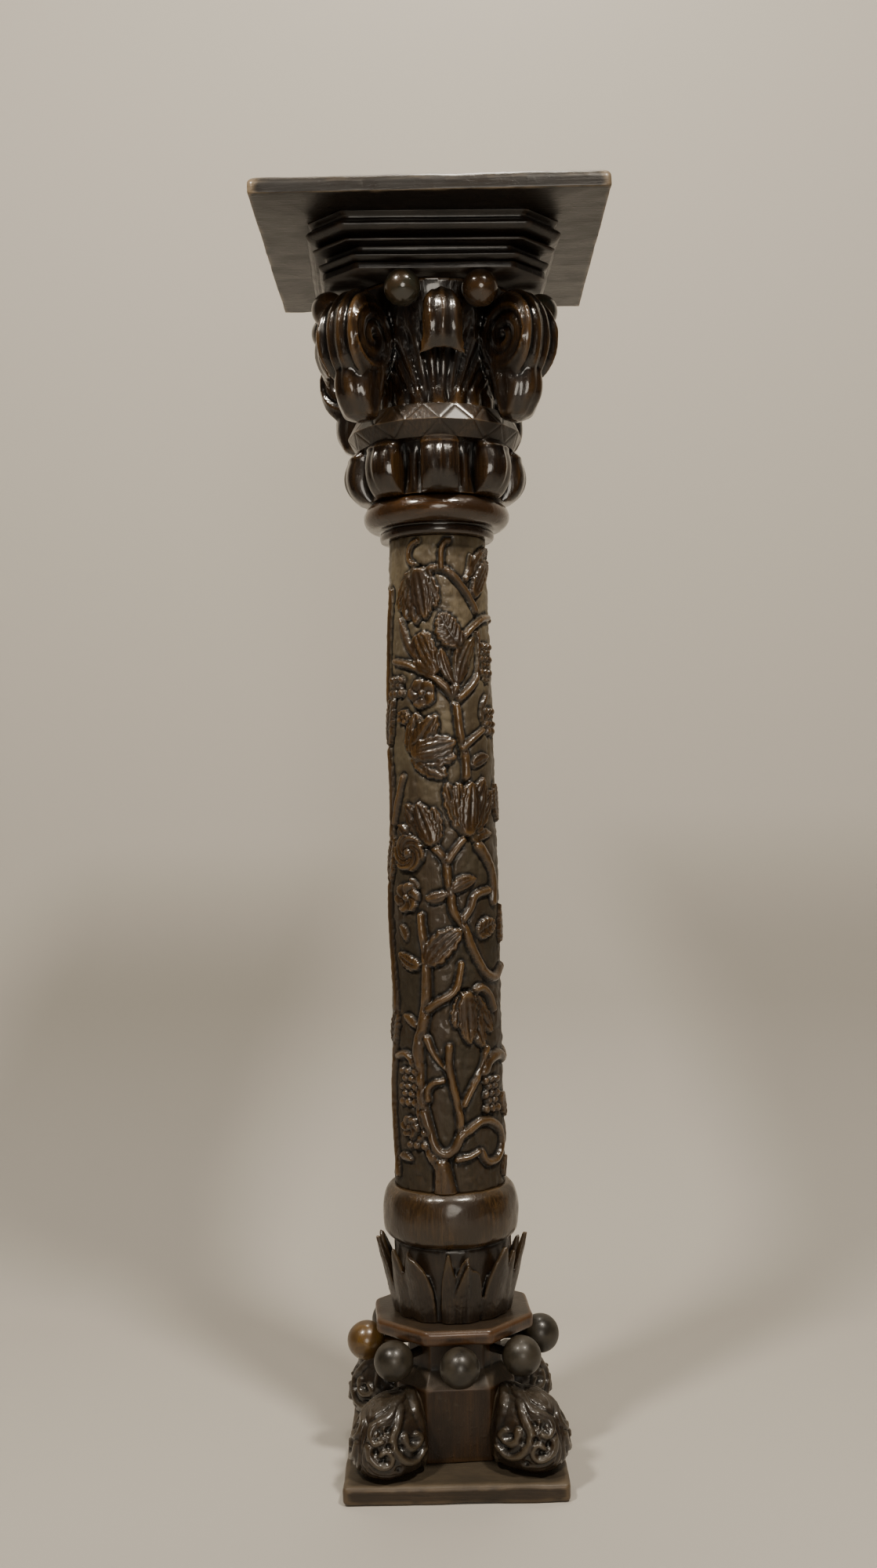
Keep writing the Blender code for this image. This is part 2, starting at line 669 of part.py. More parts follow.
# Abacus: rolls and fillets run round a square with cut corners
def make_abacus():
    half = ABACUS_WIDTH / 2
    # How far each point of the profile lies inside the widest roll, and its height share
    profile = [(0.8, 0), (0.8, 0.12), (1, 0.14), (0.75, 0.17), (0.58, 0.24), (0.75, 0.31), (1, 0.35),
               (0.97, 0.44), (0.36, 0.47), (0.36, 0.53), (0.7, 0.55), (0.58, 0.6), (0.17, 0.66), (0, 0.75),
               (0.17, 0.84), (0.31, 0.88), (0.28, 0.93), (0.11, 1)]
    rings = [cut_square_ring(half - inset * ABACUS_STEP, ABACUS_CUT, abacus_foot + share * ABACUS_HEIGHT,
                             ABACUS_TURN) for inset, share in profile]
    return add_piece("abacus_moulding", skin(rings), (0.028, 0.014, 0.009), 0.25)


# Top board: a thumbnail edge between a square lower edge and a small upper fillet
def make_top_board():
    half = BOARD_WIDTH / 2
    rise = BOARD_THICKNESS - BOARD_SQUARE_EDGE - BOARD_FILLET
    rings = [square_ring(half, board_foot), square_ring(half, board_foot + BOARD_SQUARE_EDGE)]
    steps = 5
    for step in range(1, steps + 1):
        turn = math.pi / 2 * step / steps
        inset = BOARD_EDGE_DEPTH * (1 - math.cos(turn))
        rings.append(square_ring(half - inset, board_foot + BOARD_SQUARE_EDGE + rise * math.sin(turn)))
    rings.append(square_ring(half - BOARD_EDGE_DEPTH, board_foot + BOARD_THICKNESS))
    return add_piece("top_board", skin(rings), (0.045, 0.028, 0.022), 0.35)


def make_base_balls():
    for i in range(8):
        centre = polar(math.pi / 4 * i + BASE_TURN, base_ball_circle, base_ball_height)
        core_reach = neck_diagonal_reach if i % 2 else neck_reach
        make_ball(f"base_ball_{i + 1}", centre, BASE_BALL_RADIUS, core_reach, (0.045, 0.04, 0.035), 0.45)


def make_capital_balls():
    number = 0
    for face in range(4):
        for side in (-1, 1):
            number += 1
            offset = math.atan2(side * CAPITAL_BALL_SPACING / 2, CAPITAL_BALL_DEPTH)
            reach = math.hypot(CAPITAL_BALL_SPACING / 2, CAPITAL_BALL_DEPTH)
            angle = face * math.pi / 2 + offset + FACE_CARVING_TURN
            centre = polar(angle, reach, capital_ball_height)
            make_ball(f"capital_ball_{number}", centre, CAPITAL_BALL_RADIUS, BELL_LIP_RADIUS,
                      (0.07, 0.05, 0.035), 0.2)


make_plinth()
make_base_block()
for corner in range(4):
    make_scroll_foot(f"scroll_foot_{corner + 1}", math.pi / 4 + corner * math.pi / 2 + BASE_TURN)
make_base_balls()
make_cap_plate()
make_leaf_collar()
make_shaft()
make_neck_ring()
make_capital()
make_capital_balls()
make_abacus()
make_top_board()
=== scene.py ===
import math

import bpy
import numpy as np
from mathutils import Matrix, Vector, noise


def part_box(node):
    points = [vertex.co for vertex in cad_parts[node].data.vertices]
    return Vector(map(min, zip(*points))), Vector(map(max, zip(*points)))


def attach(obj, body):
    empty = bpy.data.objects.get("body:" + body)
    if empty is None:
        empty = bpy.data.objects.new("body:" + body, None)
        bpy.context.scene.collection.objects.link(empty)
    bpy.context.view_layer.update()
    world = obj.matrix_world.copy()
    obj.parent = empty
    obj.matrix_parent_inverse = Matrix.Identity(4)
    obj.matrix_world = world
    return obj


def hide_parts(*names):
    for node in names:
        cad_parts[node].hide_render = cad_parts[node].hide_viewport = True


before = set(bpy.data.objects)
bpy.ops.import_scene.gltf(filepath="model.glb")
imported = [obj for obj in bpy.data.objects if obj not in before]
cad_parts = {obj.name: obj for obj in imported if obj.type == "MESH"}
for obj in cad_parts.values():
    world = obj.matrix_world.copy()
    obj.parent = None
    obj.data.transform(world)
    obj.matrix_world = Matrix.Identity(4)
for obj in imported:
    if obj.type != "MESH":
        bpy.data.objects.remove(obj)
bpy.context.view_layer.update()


# Studio: a pale floor that curves up into a pale wall, soft overhead lamps to the left
# and right in front of the column, and a weak soft light at the level of the camera. From
# behind, the wall lets the view through to the column's back, which has a lamp of its own.
def point_at(place, target):
    """A placing for a lamp that shines from a place towards a target."""
    turn = (Vector(target) - Vector(place)).to_track_quat("-Z", "Y")
    return Matrix.Translation(place) @ turn.to_matrix().to_4x4()


def soft_lamp(name, place, target, size, watts, colour):
    lamp = bpy.data.lights.new(name, "AREA")
    lamp.shape = "DISK"
    lamp.size = size
    lamp.energy = watts
    lamp.color = colour
    holder = bpy.data.objects.new(name, lamp)
    holder.matrix_world = point_at(place, target)
    bpy.context.scene.collection.objects.link(holder)


def clear_selection():
    if bpy.context.object and bpy.context.object.mode != "OBJECT":
        bpy.ops.object.mode_set(mode="OBJECT")
    bpy.ops.object.select_all(action="DESELECT")


def add_node(tree, kind, inputs=None, **settings):
    """A shader node with its settings made and its sockets set or linked."""
    made = tree.nodes.new("ShaderNode" + kind)
    for key, value in settings.items():
        setattr(made, key, value)
    for key, value in (inputs or {}).items():
        if isinstance(value, bpy.types.NodeSocket):
            tree.links.new(value, made.inputs[key])
        else:
            made.inputs[key].default_value = value
    return made


def new_material(name):
    material = bpy.data.materials.new(name)
    material.use_nodes = True
    tree = material.node_tree
    return material, tree, tree.nodes["Principled BSDF"]


WALL_DISTANCE = 0.75
COVE_RADIUS = 0.35
STUDIO_HALF_WIDTH = 3.5
clear_selection()
bpy.ops.mesh.primitive_plane_add(size=2, location=(0, 0, 0))
studio = bpy.context.object
studio.name = "studio_floor"
studio.data.transform(Matrix.Diagonal((STUDIO_HALF_WIDTH, 2, 1, 1)))
studio.data.transform(Matrix.Translation((0, WALL_DISTANCE - COVE_RADIUS - 2, 0)))
bpy.ops.object.mode_set(mode="EDIT")
bpy.ops.mesh.select_all(action="DESELECT")
bpy.ops.object.mode_set(mode="OBJECT")
for edge in studio.data.edges:
    edge.select = all(studio.data.vertices[i].co.y > 0 for i in edge.vertices)
bpy.ops.object.mode_set(mode="EDIT")
bpy.ops.mesh.select_mode(type="EDGE")
for step in range(1, 13):
    bpy.ops.mesh.extrude_region_move(TRANSFORM_OT_translate={"value": (
        0,
        COVE_RADIUS * (math.sin(math.pi * step / 24) - math.sin(math.pi * (step - 1) / 24)),
        COVE_RADIUS * (math.cos(math.pi * (step - 1) / 24) - math.cos(math.pi * step / 24)))})
bpy.ops.mesh.extrude_region_move(TRANSFORM_OT_translate={"value": (0, 0, 2.6)})
bpy.ops.mesh.select_all(action="SELECT")
bpy.ops.mesh.normals_make_consistent(inside=False)
bpy.ops.object.mode_set(mode="OBJECT")
if studio.data.polygons[0].normal.z < 0:
    studio.data.flip_normals()
studio.data.shade_smooth()
pale, tree, shader = new_material("pale_paper")
shader.inputs["Base Color"].default_value = (0.43, 0.405, 0.365, 1)
shader.inputs["Roughness"].default_value = 0.95
from_behind = add_node(tree, "NewGeometry").outputs["Backfacing"]
see_through = add_node(tree, "BsdfTransparent")
sheet = add_node(tree, "MixShader", {0: from_behind, 1: shader.outputs["BSDF"], 2: see_through.outputs["BSDF"]})
tree.links.new(sheet.outputs["Shader"], tree.nodes["Material Output"].inputs["Surface"])
studio.data.materials.append(pale)

soft_lamp("lamp_left", (-1.15, -1.25, 2.75), (0, 0, 0.8), 0.35, 61, (1, 0.91, 0.78))
soft_lamp("lamp_right", (0.85, -1.25, 2.85), (0, 0, 0.8), 0.35, 71, (1, 0.91, 0.78))
soft_lamp("lamp_front", (0.3, -3.2, 1.0), (0, 0, 0.6), 1.2, 27, (1, 0.92, 0.8))
soft_lamp("lamp_back", (0.1, 0.62, 2.5), (0, 0, 0.6), 0.3, 9, (1, 0.92, 0.8))
# The room gives hardly any light, and looks pale where the floor ends
sky = bpy.data.worlds.new("soft_room")
sky.use_nodes = True
room = sky.node_tree.nodes["Background"]
room.inputs["Color"].default_value = (0.95, 0.92, 0.86, 1)
looked_at = add_node(sky.node_tree, "LightPath").outputs["Is Camera Ray"]
glow = add_node(sky.node_tree, "Math", {0: looked_at, 1: 0.4, 2: 0.05}, operation="MULTIPLY_ADD")
sky.node_tree.links.new(glow.outputs["Value"], room.inputs["Strength"])
bpy.context.scene.world = sky

# The picture is 1119 by 2000 pixels, and the lens is given for its tall side
FOCAL_PIXELS = 1929
PICTURE_HEIGHT = 2000
FILM_HEIGHT = 36
eye = bpy.data.cameras.new("photo_view")
eye.sensor_fit = "VERTICAL"
eye.sensor_height = FILM_HEIGHT
eye.lens = FOCAL_PIXELS / PICTURE_HEIGHT * FILM_HEIGHT
camera = bpy.data.objects.new("photo_view", eye)
camera.matrix_world = (Matrix.Translation((0.001, -1.486, 0.632))
                       @ Matrix.Rotation(math.radians(0.17), 4, "Z")
                       @ Matrix.Rotation(math.radians(0.94), 4, "X")
                       @ Matrix.Rotation(math.radians(1.2), 4, "Y")
                       @ Matrix.Rotation(math.radians(90), 4, "X"))
bpy.context.scene.collection.objects.link(camera)
bpy.context.scene.camera = camera


# Plinth: a square oak board with softened arrises, knocked and dusty, that carries
# everything else. It is stained dark brown and thinly varnished, and it has lost its gloss.
def new_group(name, inputs, outputs):
    group = bpy.data.node_groups.new(name, "ShaderNodeTree")
    for label, kind, value in inputs:
        socket = group.interface.new_socket(label, in_out="INPUT", socket_type="NodeSocket" + kind)
        if value is not None:
            socket.default_value = value
    for label, kind in outputs:
        group.interface.new_socket(label, in_out="OUTPUT", socket_type="NodeSocket" + kind)
    return group, group.nodes.new("NodeGroupInput"), group.nodes.new("NodeGroupOutput")


def stretched_noise(tree, vector, scale, detail=3, distortion=0.0):
    """Noise whose size in each direction is given by how often it repeats in a metre."""
    placed = add_node(tree, "Mapping", {"Vector": vector, "Scale": scale})
    return add_node(tree, "TexNoise", {"Vector": placed.outputs["Vector"], "Scale": 1.0, "Detail": detail,
                                       "Distortion": distortion}).outputs["Fac"]


def between(tree, value, low, high):
    """How far a value is from low to high, held between 0 and 1."""
    return add_node(tree, "MapRange", {"Value": value, "From Min": low, "From Max": high},
                    interpolation_type="SMOOTHSTEP").outputs["Result"]


def combine(tree, operation, first, second):
    return add_node(tree, "Math", {0: first, 1: second}, operation=operation, use_clamp=True).outputs["Value"]


# The grain runs along Z: long streaks, short open pores and the clouds of an uneven stain
grain, into, out = new_group("oak_grain", [("Vector", "Vector", None)],
                             [("Streaks", "Float"), ("Pores", "Float"), ("Clouds", "Float"), ("Knocks", "Float")])
streaks = stretched_noise(grain, into.outputs["Vector"], (420, 420, 16), 4, 0.6)
pores = stretched_noise(grain, into.outputs["Vector"], (1500, 1500, 70), 2)
clouds = stretched_noise(grain, into.outputs["Vector"], (34, 34, 20), 4, 0.5)
knocks = stretched_noise(grain, into.outputs["Vector"], (160, 160, 160), 3)
for label, value, low, high in (("Streaks", streaks, 0.3, 0.7), ("Pores", pores, 0.62, 0.72),
                                ("Clouds", clouds, 0.32, 0.68), ("Knocks", knocks, 0.5, 0.8)):
    grain.links.new(between(grain, value, low, high), out.inputs[label])

# Relief is 0 in a dip and 1 on a high spot: hands rub the high spots, dust stays below, and the dips get painted shade
wear_dust_shade_group, into, out = new_group("wear_dust_and_painted_shade",
                           [("Relief", "Float", 0.5), ("Clouds", "Float", 0.5), ("Knocks", "Float", 0.5)],
                           [("Rubbed", "Float"), ("PaintedShade", "Float"), ("Dust", "Float")])
high_spot = between(wear_dust_shade_group, into.outputs["Relief"], 0.6, 1.0)
patchy = add_node(wear_dust_shade_group, "MapRange", {"Value": into.outputs["Clouds"], "To Min": 0.6, "To Max": 1.0}).outputs["Result"]
wear_dust_shade_group.links.new(combine(wear_dust_shade_group, "MULTIPLY", high_spot, patchy), out.inputs["Rubbed"])
# Painted shade: the lowest dips are made darker, as if shade lay in them
painted_shade_in_dips = add_node(wear_dust_shade_group, "MapRange", {"Value": into.outputs["Relief"], "From Min": 0.18, "From Max": 0.47,
                                    "To Min": 1.0, "To Max": 0.0}).outputs["Result"]
wear_dust_shade_group.links.new(painted_shade_in_dips, out.inputs["PaintedShade"])
facing = add_node(wear_dust_shade_group, "SeparateXYZ", {0: add_node(wear_dust_shade_group, "NewGeometry").outputs["Normal"]}).outputs["Z"]
settled = combine(wear_dust_shade_group, "MULTIPLY", between(wear_dust_shade_group, facing, 0.25, 0.95), patchy)
lodged = combine(wear_dust_shade_group, "MULTIPLY", between(wear_dust_shade_group, into.outputs["Relief"], 0.52, 0.3), into.outputs["Knocks"])
wear_dust_shade_group.links.new(combine(wear_dust_shade_group, "MAXIMUM", settled, lodged), out.inputs["Dust"])


def mix_colour(tree, share, first, second):
    mixed = add_node(tree, "Mix", {0: share, 6: first, 7: second}, data_type="RGBA")
    return mixed.outputs[2]


def stained_oak(name, stain, streak, rubbed, dust, dust_share, gloss, coat, rub_share=0.8, grain_turn=(0, 0, 0),
                grounds=None):
    """Dark stained oak under worn varnish, with painted shade in its dips; the colours are linear and gloss is the
    least roughness.
    """
    material, tree, shader = new_material(name)
    place = add_node(tree, "TexCoord").outputs["Object"]
    turned = add_node(tree, "Mapping", {"Vector": place, "Rotation": grain_turn}).outputs["Vector"]
    wood = add_node(tree, "Group", node_tree=grain)
    tree.links.new(turned, wood.inputs["Vector"])
    relief = add_node(tree, "Attribute", attribute_name="relief").outputs["Fac"]
    worn = add_node(tree, "Group", node_tree=wear_dust_shade_group)
    tree.links.new(relief, worn.inputs["Relief"])
    tree.links.new(wood.outputs["Clouds"], worn.inputs["Clouds"])
    tree.links.new(wood.outputs["Knocks"], worn.inputs["Knocks"])
    figure = combine(tree, "MULTIPLY", wood.outputs["Streaks"], wood.outputs["Clouds"])
    colour = mix_colour(tree, figure, (*stain, 1), (*streak, 1))
    sunk = 0.0
    if grounds:
        # Sunk places have their own colour, given low down and high up on the column
        height = between(tree, add_node(tree, "SeparateXYZ", {0: place}).outputs["Z"], 0.5, 0.85)
        ground = mix_colour(tree, height, *((*colour, 1) for colour in grounds))
        raised = add_node(tree, "Attribute", attribute_name="raised").outputs["Fac"]
        patchy = add_node(tree, "MapRange", {"Value": wood.outputs["Clouds"], "To Min": 0.35}).outputs["Result"]
        sunk = combine(tree, "MULTIPLY", between(tree, raised, 0.5, 0.1), patchy)
        colour = mix_colour(tree, sunk, colour, ground)
    rub = combine(tree, "MULTIPLY", worn.outputs["Rubbed"], rub_share)
    colour = mix_colour(tree, rub, colour, (*rubbed, 1))
    # Painted shade: the dips are mixed towards 12 percent of the stain's colour
    shade = combine(tree, "MULTIPLY", worn.outputs["PaintedShade"], 0.95)
    colour = mix_colour(tree, shade, colour, (stain[0] * 0.12, stain[1] * 0.12, stain[2] * 0.12, 1))
    dusty = combine(tree, "MULTIPLY", worn.outputs["Dust"], dust_share)
    colour = mix_colour(tree, dusty, colour, (*dust, 1))
    pitted = combine(tree, "MULTIPLY", wood.outputs["Pores"], 0.45)
    colour = mix_colour(tree, pitted, colour, (stain[0] * 0.3, stain[1] * 0.3, stain[2] * 0.3, 1))
    tree.links.new(colour, shader.inputs["Base Color"])
    matt = combine(tree, "MAXIMUM", dusty, sunk)
    dulled = combine(tree, "MULTIPLY", matt, 0.4)
    uneven = add_node(tree, "MapRange", {"Value": wood.outputs["Clouds"], "To Min": gloss + 0.16,
                                         "To Max": gloss}).outputs["Result"]
    tree.links.new(combine(tree, "ADD", uneven, dulled), shader.inputs["Roughness"])
    clean = combine(tree, "SUBTRACT", 1.0, matt)
    tree.links.new(combine(tree, "MULTIPLY", clean, coat), shader.inputs["Coat Weight"])
    shader.inputs["Coat Roughness"].default_value = max(gloss - 0.1, 0.08)
    shader.inputs["Coat IOR"].default_value = 1.5
    shader.inputs["Specular IOR Level"].default_value = 0.35
    ridges = combine(tree, "SUBTRACT", wood.outputs["Streaks"], wood.outputs["Pores"])
    coarse = add_node(tree, "Bump", {"Strength": 0.5, "Distance": 0.0004, "Height": wood.outputs["Knocks"]})
    fine = add_node(tree, "Bump", {"Strength": 0.35, "Distance": 0.0003, "Height": ridges,
                                   "Normal": coarse.outputs["Normal"]})
    tree.links.new(fine.outputs["Normal"], shader.inputs["Normal"])
    return material


def mark_relief(piece, passes, full):
    """Stores how proud each point stands of what is round it, 0.5 being level."""
    mesh = piece.data
    count = len(mesh.vertices)
    places = np.empty(count * 3)
    mesh.vertices.foreach_get("co", places)
    places = places.reshape(-1, 3)
    ends = np.empty(len(mesh.edges) * 2, dtype=np.int32)
    mesh.edges.foreach_get("vertices", ends)
    first, second = ends.reshape(-1, 2).T
    near = np.concatenate((second, first))
    owner = np.concatenate((first, second))
    degree = np.maximum(np.bincount(owner, minlength=count), 1)
    level = places.copy()
    for _ in range(passes):
        level = np.stack([np.bincount(owner, weights=level[near, axis], minlength=count) / degree
                          for axis in range(3)], axis=1)
    normals = np.empty(count * 3)
    mesh.vertex_normals.foreach_get("vector", normals)
    proud = ((places - level) * normals.reshape(-1, 3)).sum(axis=1)
    values = np.clip(0.5 + 0.5 * proud / full, 0, 1)
    attribute = mesh.attributes.new("relief", "FLOAT", "POINT")
    attribute.data.foreach_set("value", values.astype(np.float32))
    return values


def rough_out(piece, depth, size, seed=0.0):
    """Moves each point along its normal by smooth noise, as hand work and knocks leave it."""
    normals = [Vector(n.vector) for n in piece.data.vertex_normals]
    for vertex, normal in zip(piece.data.vertices, normals):
        place = vertex.co / size + Vector((seed, seed * 1.7, seed * 0.6))
        vertex.co += normal * (noise.noise(place) * depth)
    piece.data.update()


def keep_inside(piece, low, high, axes=(2,)):
    """Brings back the points that hand work has pushed out of the room the piece has."""
    for vertex in piece.data.vertices:
        for axis in axes:
            vertex.co[axis] = min(max(vertex.co[axis], low[axis]), high[axis])


def room_of(node):
    """The lowest and the highest corner of the room that a piece of the part takes up."""
    return (Vector(corner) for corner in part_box(node))


def start_piece(name):
    piece = bpy.context.object
    piece.name = name
    piece.data.name = name
    return piece


def take_up(piece):
    """Selects one piece alone, for the operators that follow."""
    clear_selection()
    piece.select_set(True)
    bpy.context.view_layer.objects.active = piece


def select_upright_edges(piece):
    for edge in piece.data.edges:
        first, second = (piece.data.vertices[i].co for i in edge.vertices)
        edge.select = abs(first.z - second.z) > 0.01


def apply_modifier(piece, kind, **settings):
    take_up(piece)
    modifier = piece.modifiers.new(kind.lower(), kind)
    for key, value in settings.items():
        setattr(modifier, key, value)
    bpy.ops.object.modifier_apply(modifier=modifier.name)


def settle_piece(piece, node, material, crease=None):
    """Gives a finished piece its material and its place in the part."""
    piece.data.materials.clear()
    piece.data.materials.append(material)
    piece.data.shade_smooth()
    if crease:
        take_up(piece)
        bpy.ops.object.shade_smooth_by_angle(angle=math.radians(crease))
    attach(piece, "root")
    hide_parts(node)


def slice_board(piece, low, high, step):
    """Cuts a board by level planes along each axis, so that its faces can carry small dents."""
    take_up(piece)
    bpy.ops.object.mode_set(mode="EDIT")
    for axis in range(3):
        count = max(int((high[axis] - low[axis]) / step), 1)
        for i in range(1, count):
            place = [0, 0, 0]
            place[axis] = low[axis] + (high[axis] - low[axis]) * i / count
            normal = [0, 0, 0]
            normal[axis] = 1
            bpy.ops.mesh.select_all(action="SELECT")
            bpy.ops.mesh.bisect(plane_co=place, plane_no=normal)
    bpy.ops.object.mode_set(mode="OBJECT")


PLINTH_ARRIS = 0.0034
PLINTH_CORNER = 0.005
low, high = room_of("plinth")
clear_selection()
bpy.ops.mesh.primitive_cube_add(size=1)
plinth = start_piece("plinth_board")
plinth.data.transform(Matrix.Translation((low + high) / 2) @ Matrix.Diagonal((*(high - low), 1)))
select_upright_edges(plinth)
bpy.ops.object.mode_set(mode="EDIT")
bpy.ops.mesh.select_mode(type="EDGE")
bpy.ops.mesh.bevel(offset=PLINTH_CORNER, offset_type="OFFSET", segments=5, affect="EDGES")
bpy.ops.object.mode_set(mode="OBJECT")
apply_modifier(plinth, "BEVEL", width=PLINTH_ARRIS, segments=4)
slice_board(plinth, low, high, 0.005)
rough_out(plinth, 0.0005, 0.012, 3.1)
rough_out(plinth, 0.0011, 0.03, 7.7)
keep_inside(plinth, low, high, (0, 1, 2))
mark_relief(plinth, 4, 0.0006)
base_oak = stained_oak("base_oak", (0.016, 0.007, 0.0014), (0.04, 0.0175, 0.004), (0.06, 0.03, 0.011),
                       (0.1, 0.086, 0.062), 0.75, 0.42, 0.2)
plinth_oak = stained_oak("plinth_oak", (0.016, 0.0095, 0.0045), (0.036, 0.0215, 0.01), (0.13, 0.088, 0.048),
                         (0.07, 0.056, 0.036), 0.55, 0.4, 0.25, 0.6, grain_turn=(0, math.pi / 2, 0))
settle_piece(plinth, "plinth", plinth_oak)


# Base block: one oak block with its corners cut off, standing on the plinth and splayed in at
# its shoulder to a narrower neck. The faces are planed flat and the grain runs upright.
BASE_TURN = math.radians(3.5)
BLOCK_WIDTH = 0.112
BLOCK_FACE_WIDTH = 0.0608
BLOCK_SPLAY = 0.012
BLOCK_SPLAY_HEIGHT = 0.0152
BLOCK_NECK_HEIGHT = 0.0313
block_cut = (BLOCK_WIDTH - BLOCK_FACE_WIDTH) / 2
low, high = room_of("base_block")
shoulder = high.z - BLOCK_NECK_HEIGHT - BLOCK_SPLAY_HEIGHT
clear_selection()
bpy.ops.mesh.primitive_cube_add(size=1)
block = start_piece("base_block_cut")
block.data.transform(Matrix.Translation((0, 0, (shoulder + low.z) / 2))
                     @ Matrix.Diagonal((BLOCK_WIDTH, BLOCK_WIDTH, shoulder - low.z, 1)))
bpy.ops.object.mode_set(mode="EDIT")
bpy.ops.mesh.select_mode(type="EDGE")
bpy.ops.mesh.select_all(action="DESELECT")
bpy.ops.object.mode_set(mode="OBJECT")
select_upright_edges(block)
bpy.ops.object.mode_set(mode="EDIT")
bpy.ops.mesh.bevel(offset=block_cut, offset_type="OFFSET", segments=1, affect="EDGES")
bpy.ops.mesh.select_all(action="DESELECT")
bpy.ops.object.mode_set(mode="OBJECT")
for face in block.data.polygons:
    face.select = face.normal.z > 0.9
bpy.ops.object.mode_set(mode="EDIT")
bpy.ops.mesh.select_mode(type="FACE")
bpy.ops.mesh.inset(thickness=BLOCK_SPLAY, depth=BLOCK_SPLAY_HEIGHT)
bpy.ops.mesh.extrude_region_move(TRANSFORM_OT_translate={"value": (0, 0, BLOCK_NECK_HEIGHT)})
bpy.ops.object.mode_set(mode="OBJECT")
block.data.transform(Matrix.Rotation(BASE_TURN, 4, "Z"))
apply_modifier(block, "BEVEL", width=0.0012, segments=2)
slice_board(block, low, high, 0.006)
rough_out(block, 0.0006, 0.03, 1.3)
keep_inside(block, low, high)
mark_relief(block, 4, 0.0006)
settle_piece(block, "base_block", base_oak)


# Scroll feet: four egg-shaped oak brackets glued to the cut corners of the block. Reeds run
# round the nose, and each side has a field of curled leaves with drilled pits between them.
FOOT_REACH = 0.131
FOOT_WIDTH = 0.065
foot_low, foot_high = room_of("scroll_foot_1")
foot_back = (BLOCK_WIDTH - block_cut) / math.sqrt(2) + 0.0003
foot_depth = FOOT_REACH - foot_back
foot_tall = foot_high.z - foot_low.z


def smooth_route(points, step):
    """Points along a smooth curve through the route, about a step apart."""
    route = []
    last = len(points) - 1
    for i in range(last):
        before, start, end, after = (Vector(points[max(i - 1, 0)]), Vector(points[i]), Vector(points[i + 1]),
                                     Vector(points[min(i + 2, last)]))
        pieces = max(1, round((end - start).length / step))
        for k in range(pieces):
            t = k / pieces
            route.append(0.5 * (2 * start + (end - before) * t
                                + (2 * before - 5 * start + 4 * end - after) * t ** 2
                                + (3 * start - before - 3 * end + after) * t ** 3))
    route.append(Vector(points[-1]))
    return route


def distance_to_route(across, up, route):
    """Distance to a route and how far along it the nearest place is, for arrays of points."""
    nearest = np.full(across.shape, 1e9)
    along = np.zeros(across.shape)
    last = len(route) - 1
    for i in range(last):
        run = route[i + 1] - route[i]
        square = max(run.length_squared, 1e-12)
        share = np.clip(((across - route[i].x) * run.x + (up - route[i].y) * run.y) / square, 0, 1)
        away = np.hypot(across - route[i].x - run.x * share, up - route[i].y - run.y * share)
        closer = away < nearest
        nearest = np.where(closer, away, nearest)
        along = np.where(closer, (i + share) / last, along)
    return nearest, along


def polar(angle, radius, height):
    """A point at an angle from the front, counter-clockwise from above."""
    return Vector((radius * math.sin(angle), -radius * math.cos(angle), height))


def clean_up(piece, distance):
    """Merges doubles and turns every face outwards."""
    take_up(piece)
    bpy.ops.object.mode_set(mode="EDIT")
    bpy.ops.mesh.select_all(action="SELECT")
    bpy.ops.mesh.remove_doubles(threshold=distance)
    bpy.ops.mesh.normals_make_consistent(inside=False)
    bpy.ops.object.mode_set(mode="OBJECT")


def ring_body(name, rings):
    """A closed mesh through rings of equally many points."""
    around = len(rings[0])
    points = [point for ring in rings for point in ring]
    faces = []
    for row in range(len(rings) - 1):
        for i in range(around):
            j = (i + 1) % around
            faces.append((row * around + i, row * around + j, (row + 1) * around + j, (row + 1) * around + i))
    faces.append(tuple(range(around))[::-1])
    faces.append(tuple((len(rings) - 1) * around + i for i in range(around)))
    mesh = bpy.data.meshes.new(name)
    mesh.from_pydata(points, [], faces)
    body = bpy.data.objects.new(name, mesh)
    bpy.context.scene.collection.objects.link(body)
    clean_up(body, 0.00001)
    return body


def read_places(piece):
    places = np.empty(len(piece.data.vertices) * 3)
    piece.data.vertices.foreach_get("co", places)
    return places.reshape(-1, 3)


def push_out(piece, amounts):
    """Moves each point along its normal by its own amount."""
    places = read_places(piece)
    normals = np.empty(len(piece.data.vertices) * 3)
    piece.data.vertex_normals.foreach_get("vector", normals)
    places += normals.reshape(-1, 3) * amounts[:, None]
    piece.data.vertices.foreach_set("co", places.ravel())
    piece.data.update()


# Half of the plan from the back to the nose, as shares of the reach and of the half width
FOOT_PLAN = [(0, 0.62), (0.22, 0.97), (0.58, 1), (0.86, 0.72), (0.98, 0.3), (1, 0)]
# Height, reach and width of each level, as shares of the whole
FOOT_LEVELS = [(0, 0.74, 0.55), (0.04, 0.84, 0.74), (0.12, 0.93, 0.9), (0.27, 1, 1), (0.55, 0.97, 0.93),
               (0.8, 0.84, 0.7), (0.93, 0.72, 0.44), (0.985, 0.6, 0.24), (1, 0.5, 0.1)]
# Lines of the side carving, as shares of the reach from the block and of the height
FOOT_OUTLINE = [(0.2, 1.02), (0.47, 1), (0.76, 0.85), (0.89, 0.72), (0.97, 0.5), (1, 0.3), (0.93, 0.11), (0.73, 0.02),
                (0.45, 0), (0.3, 0.02)]
NOSE_SHARE = 0.88
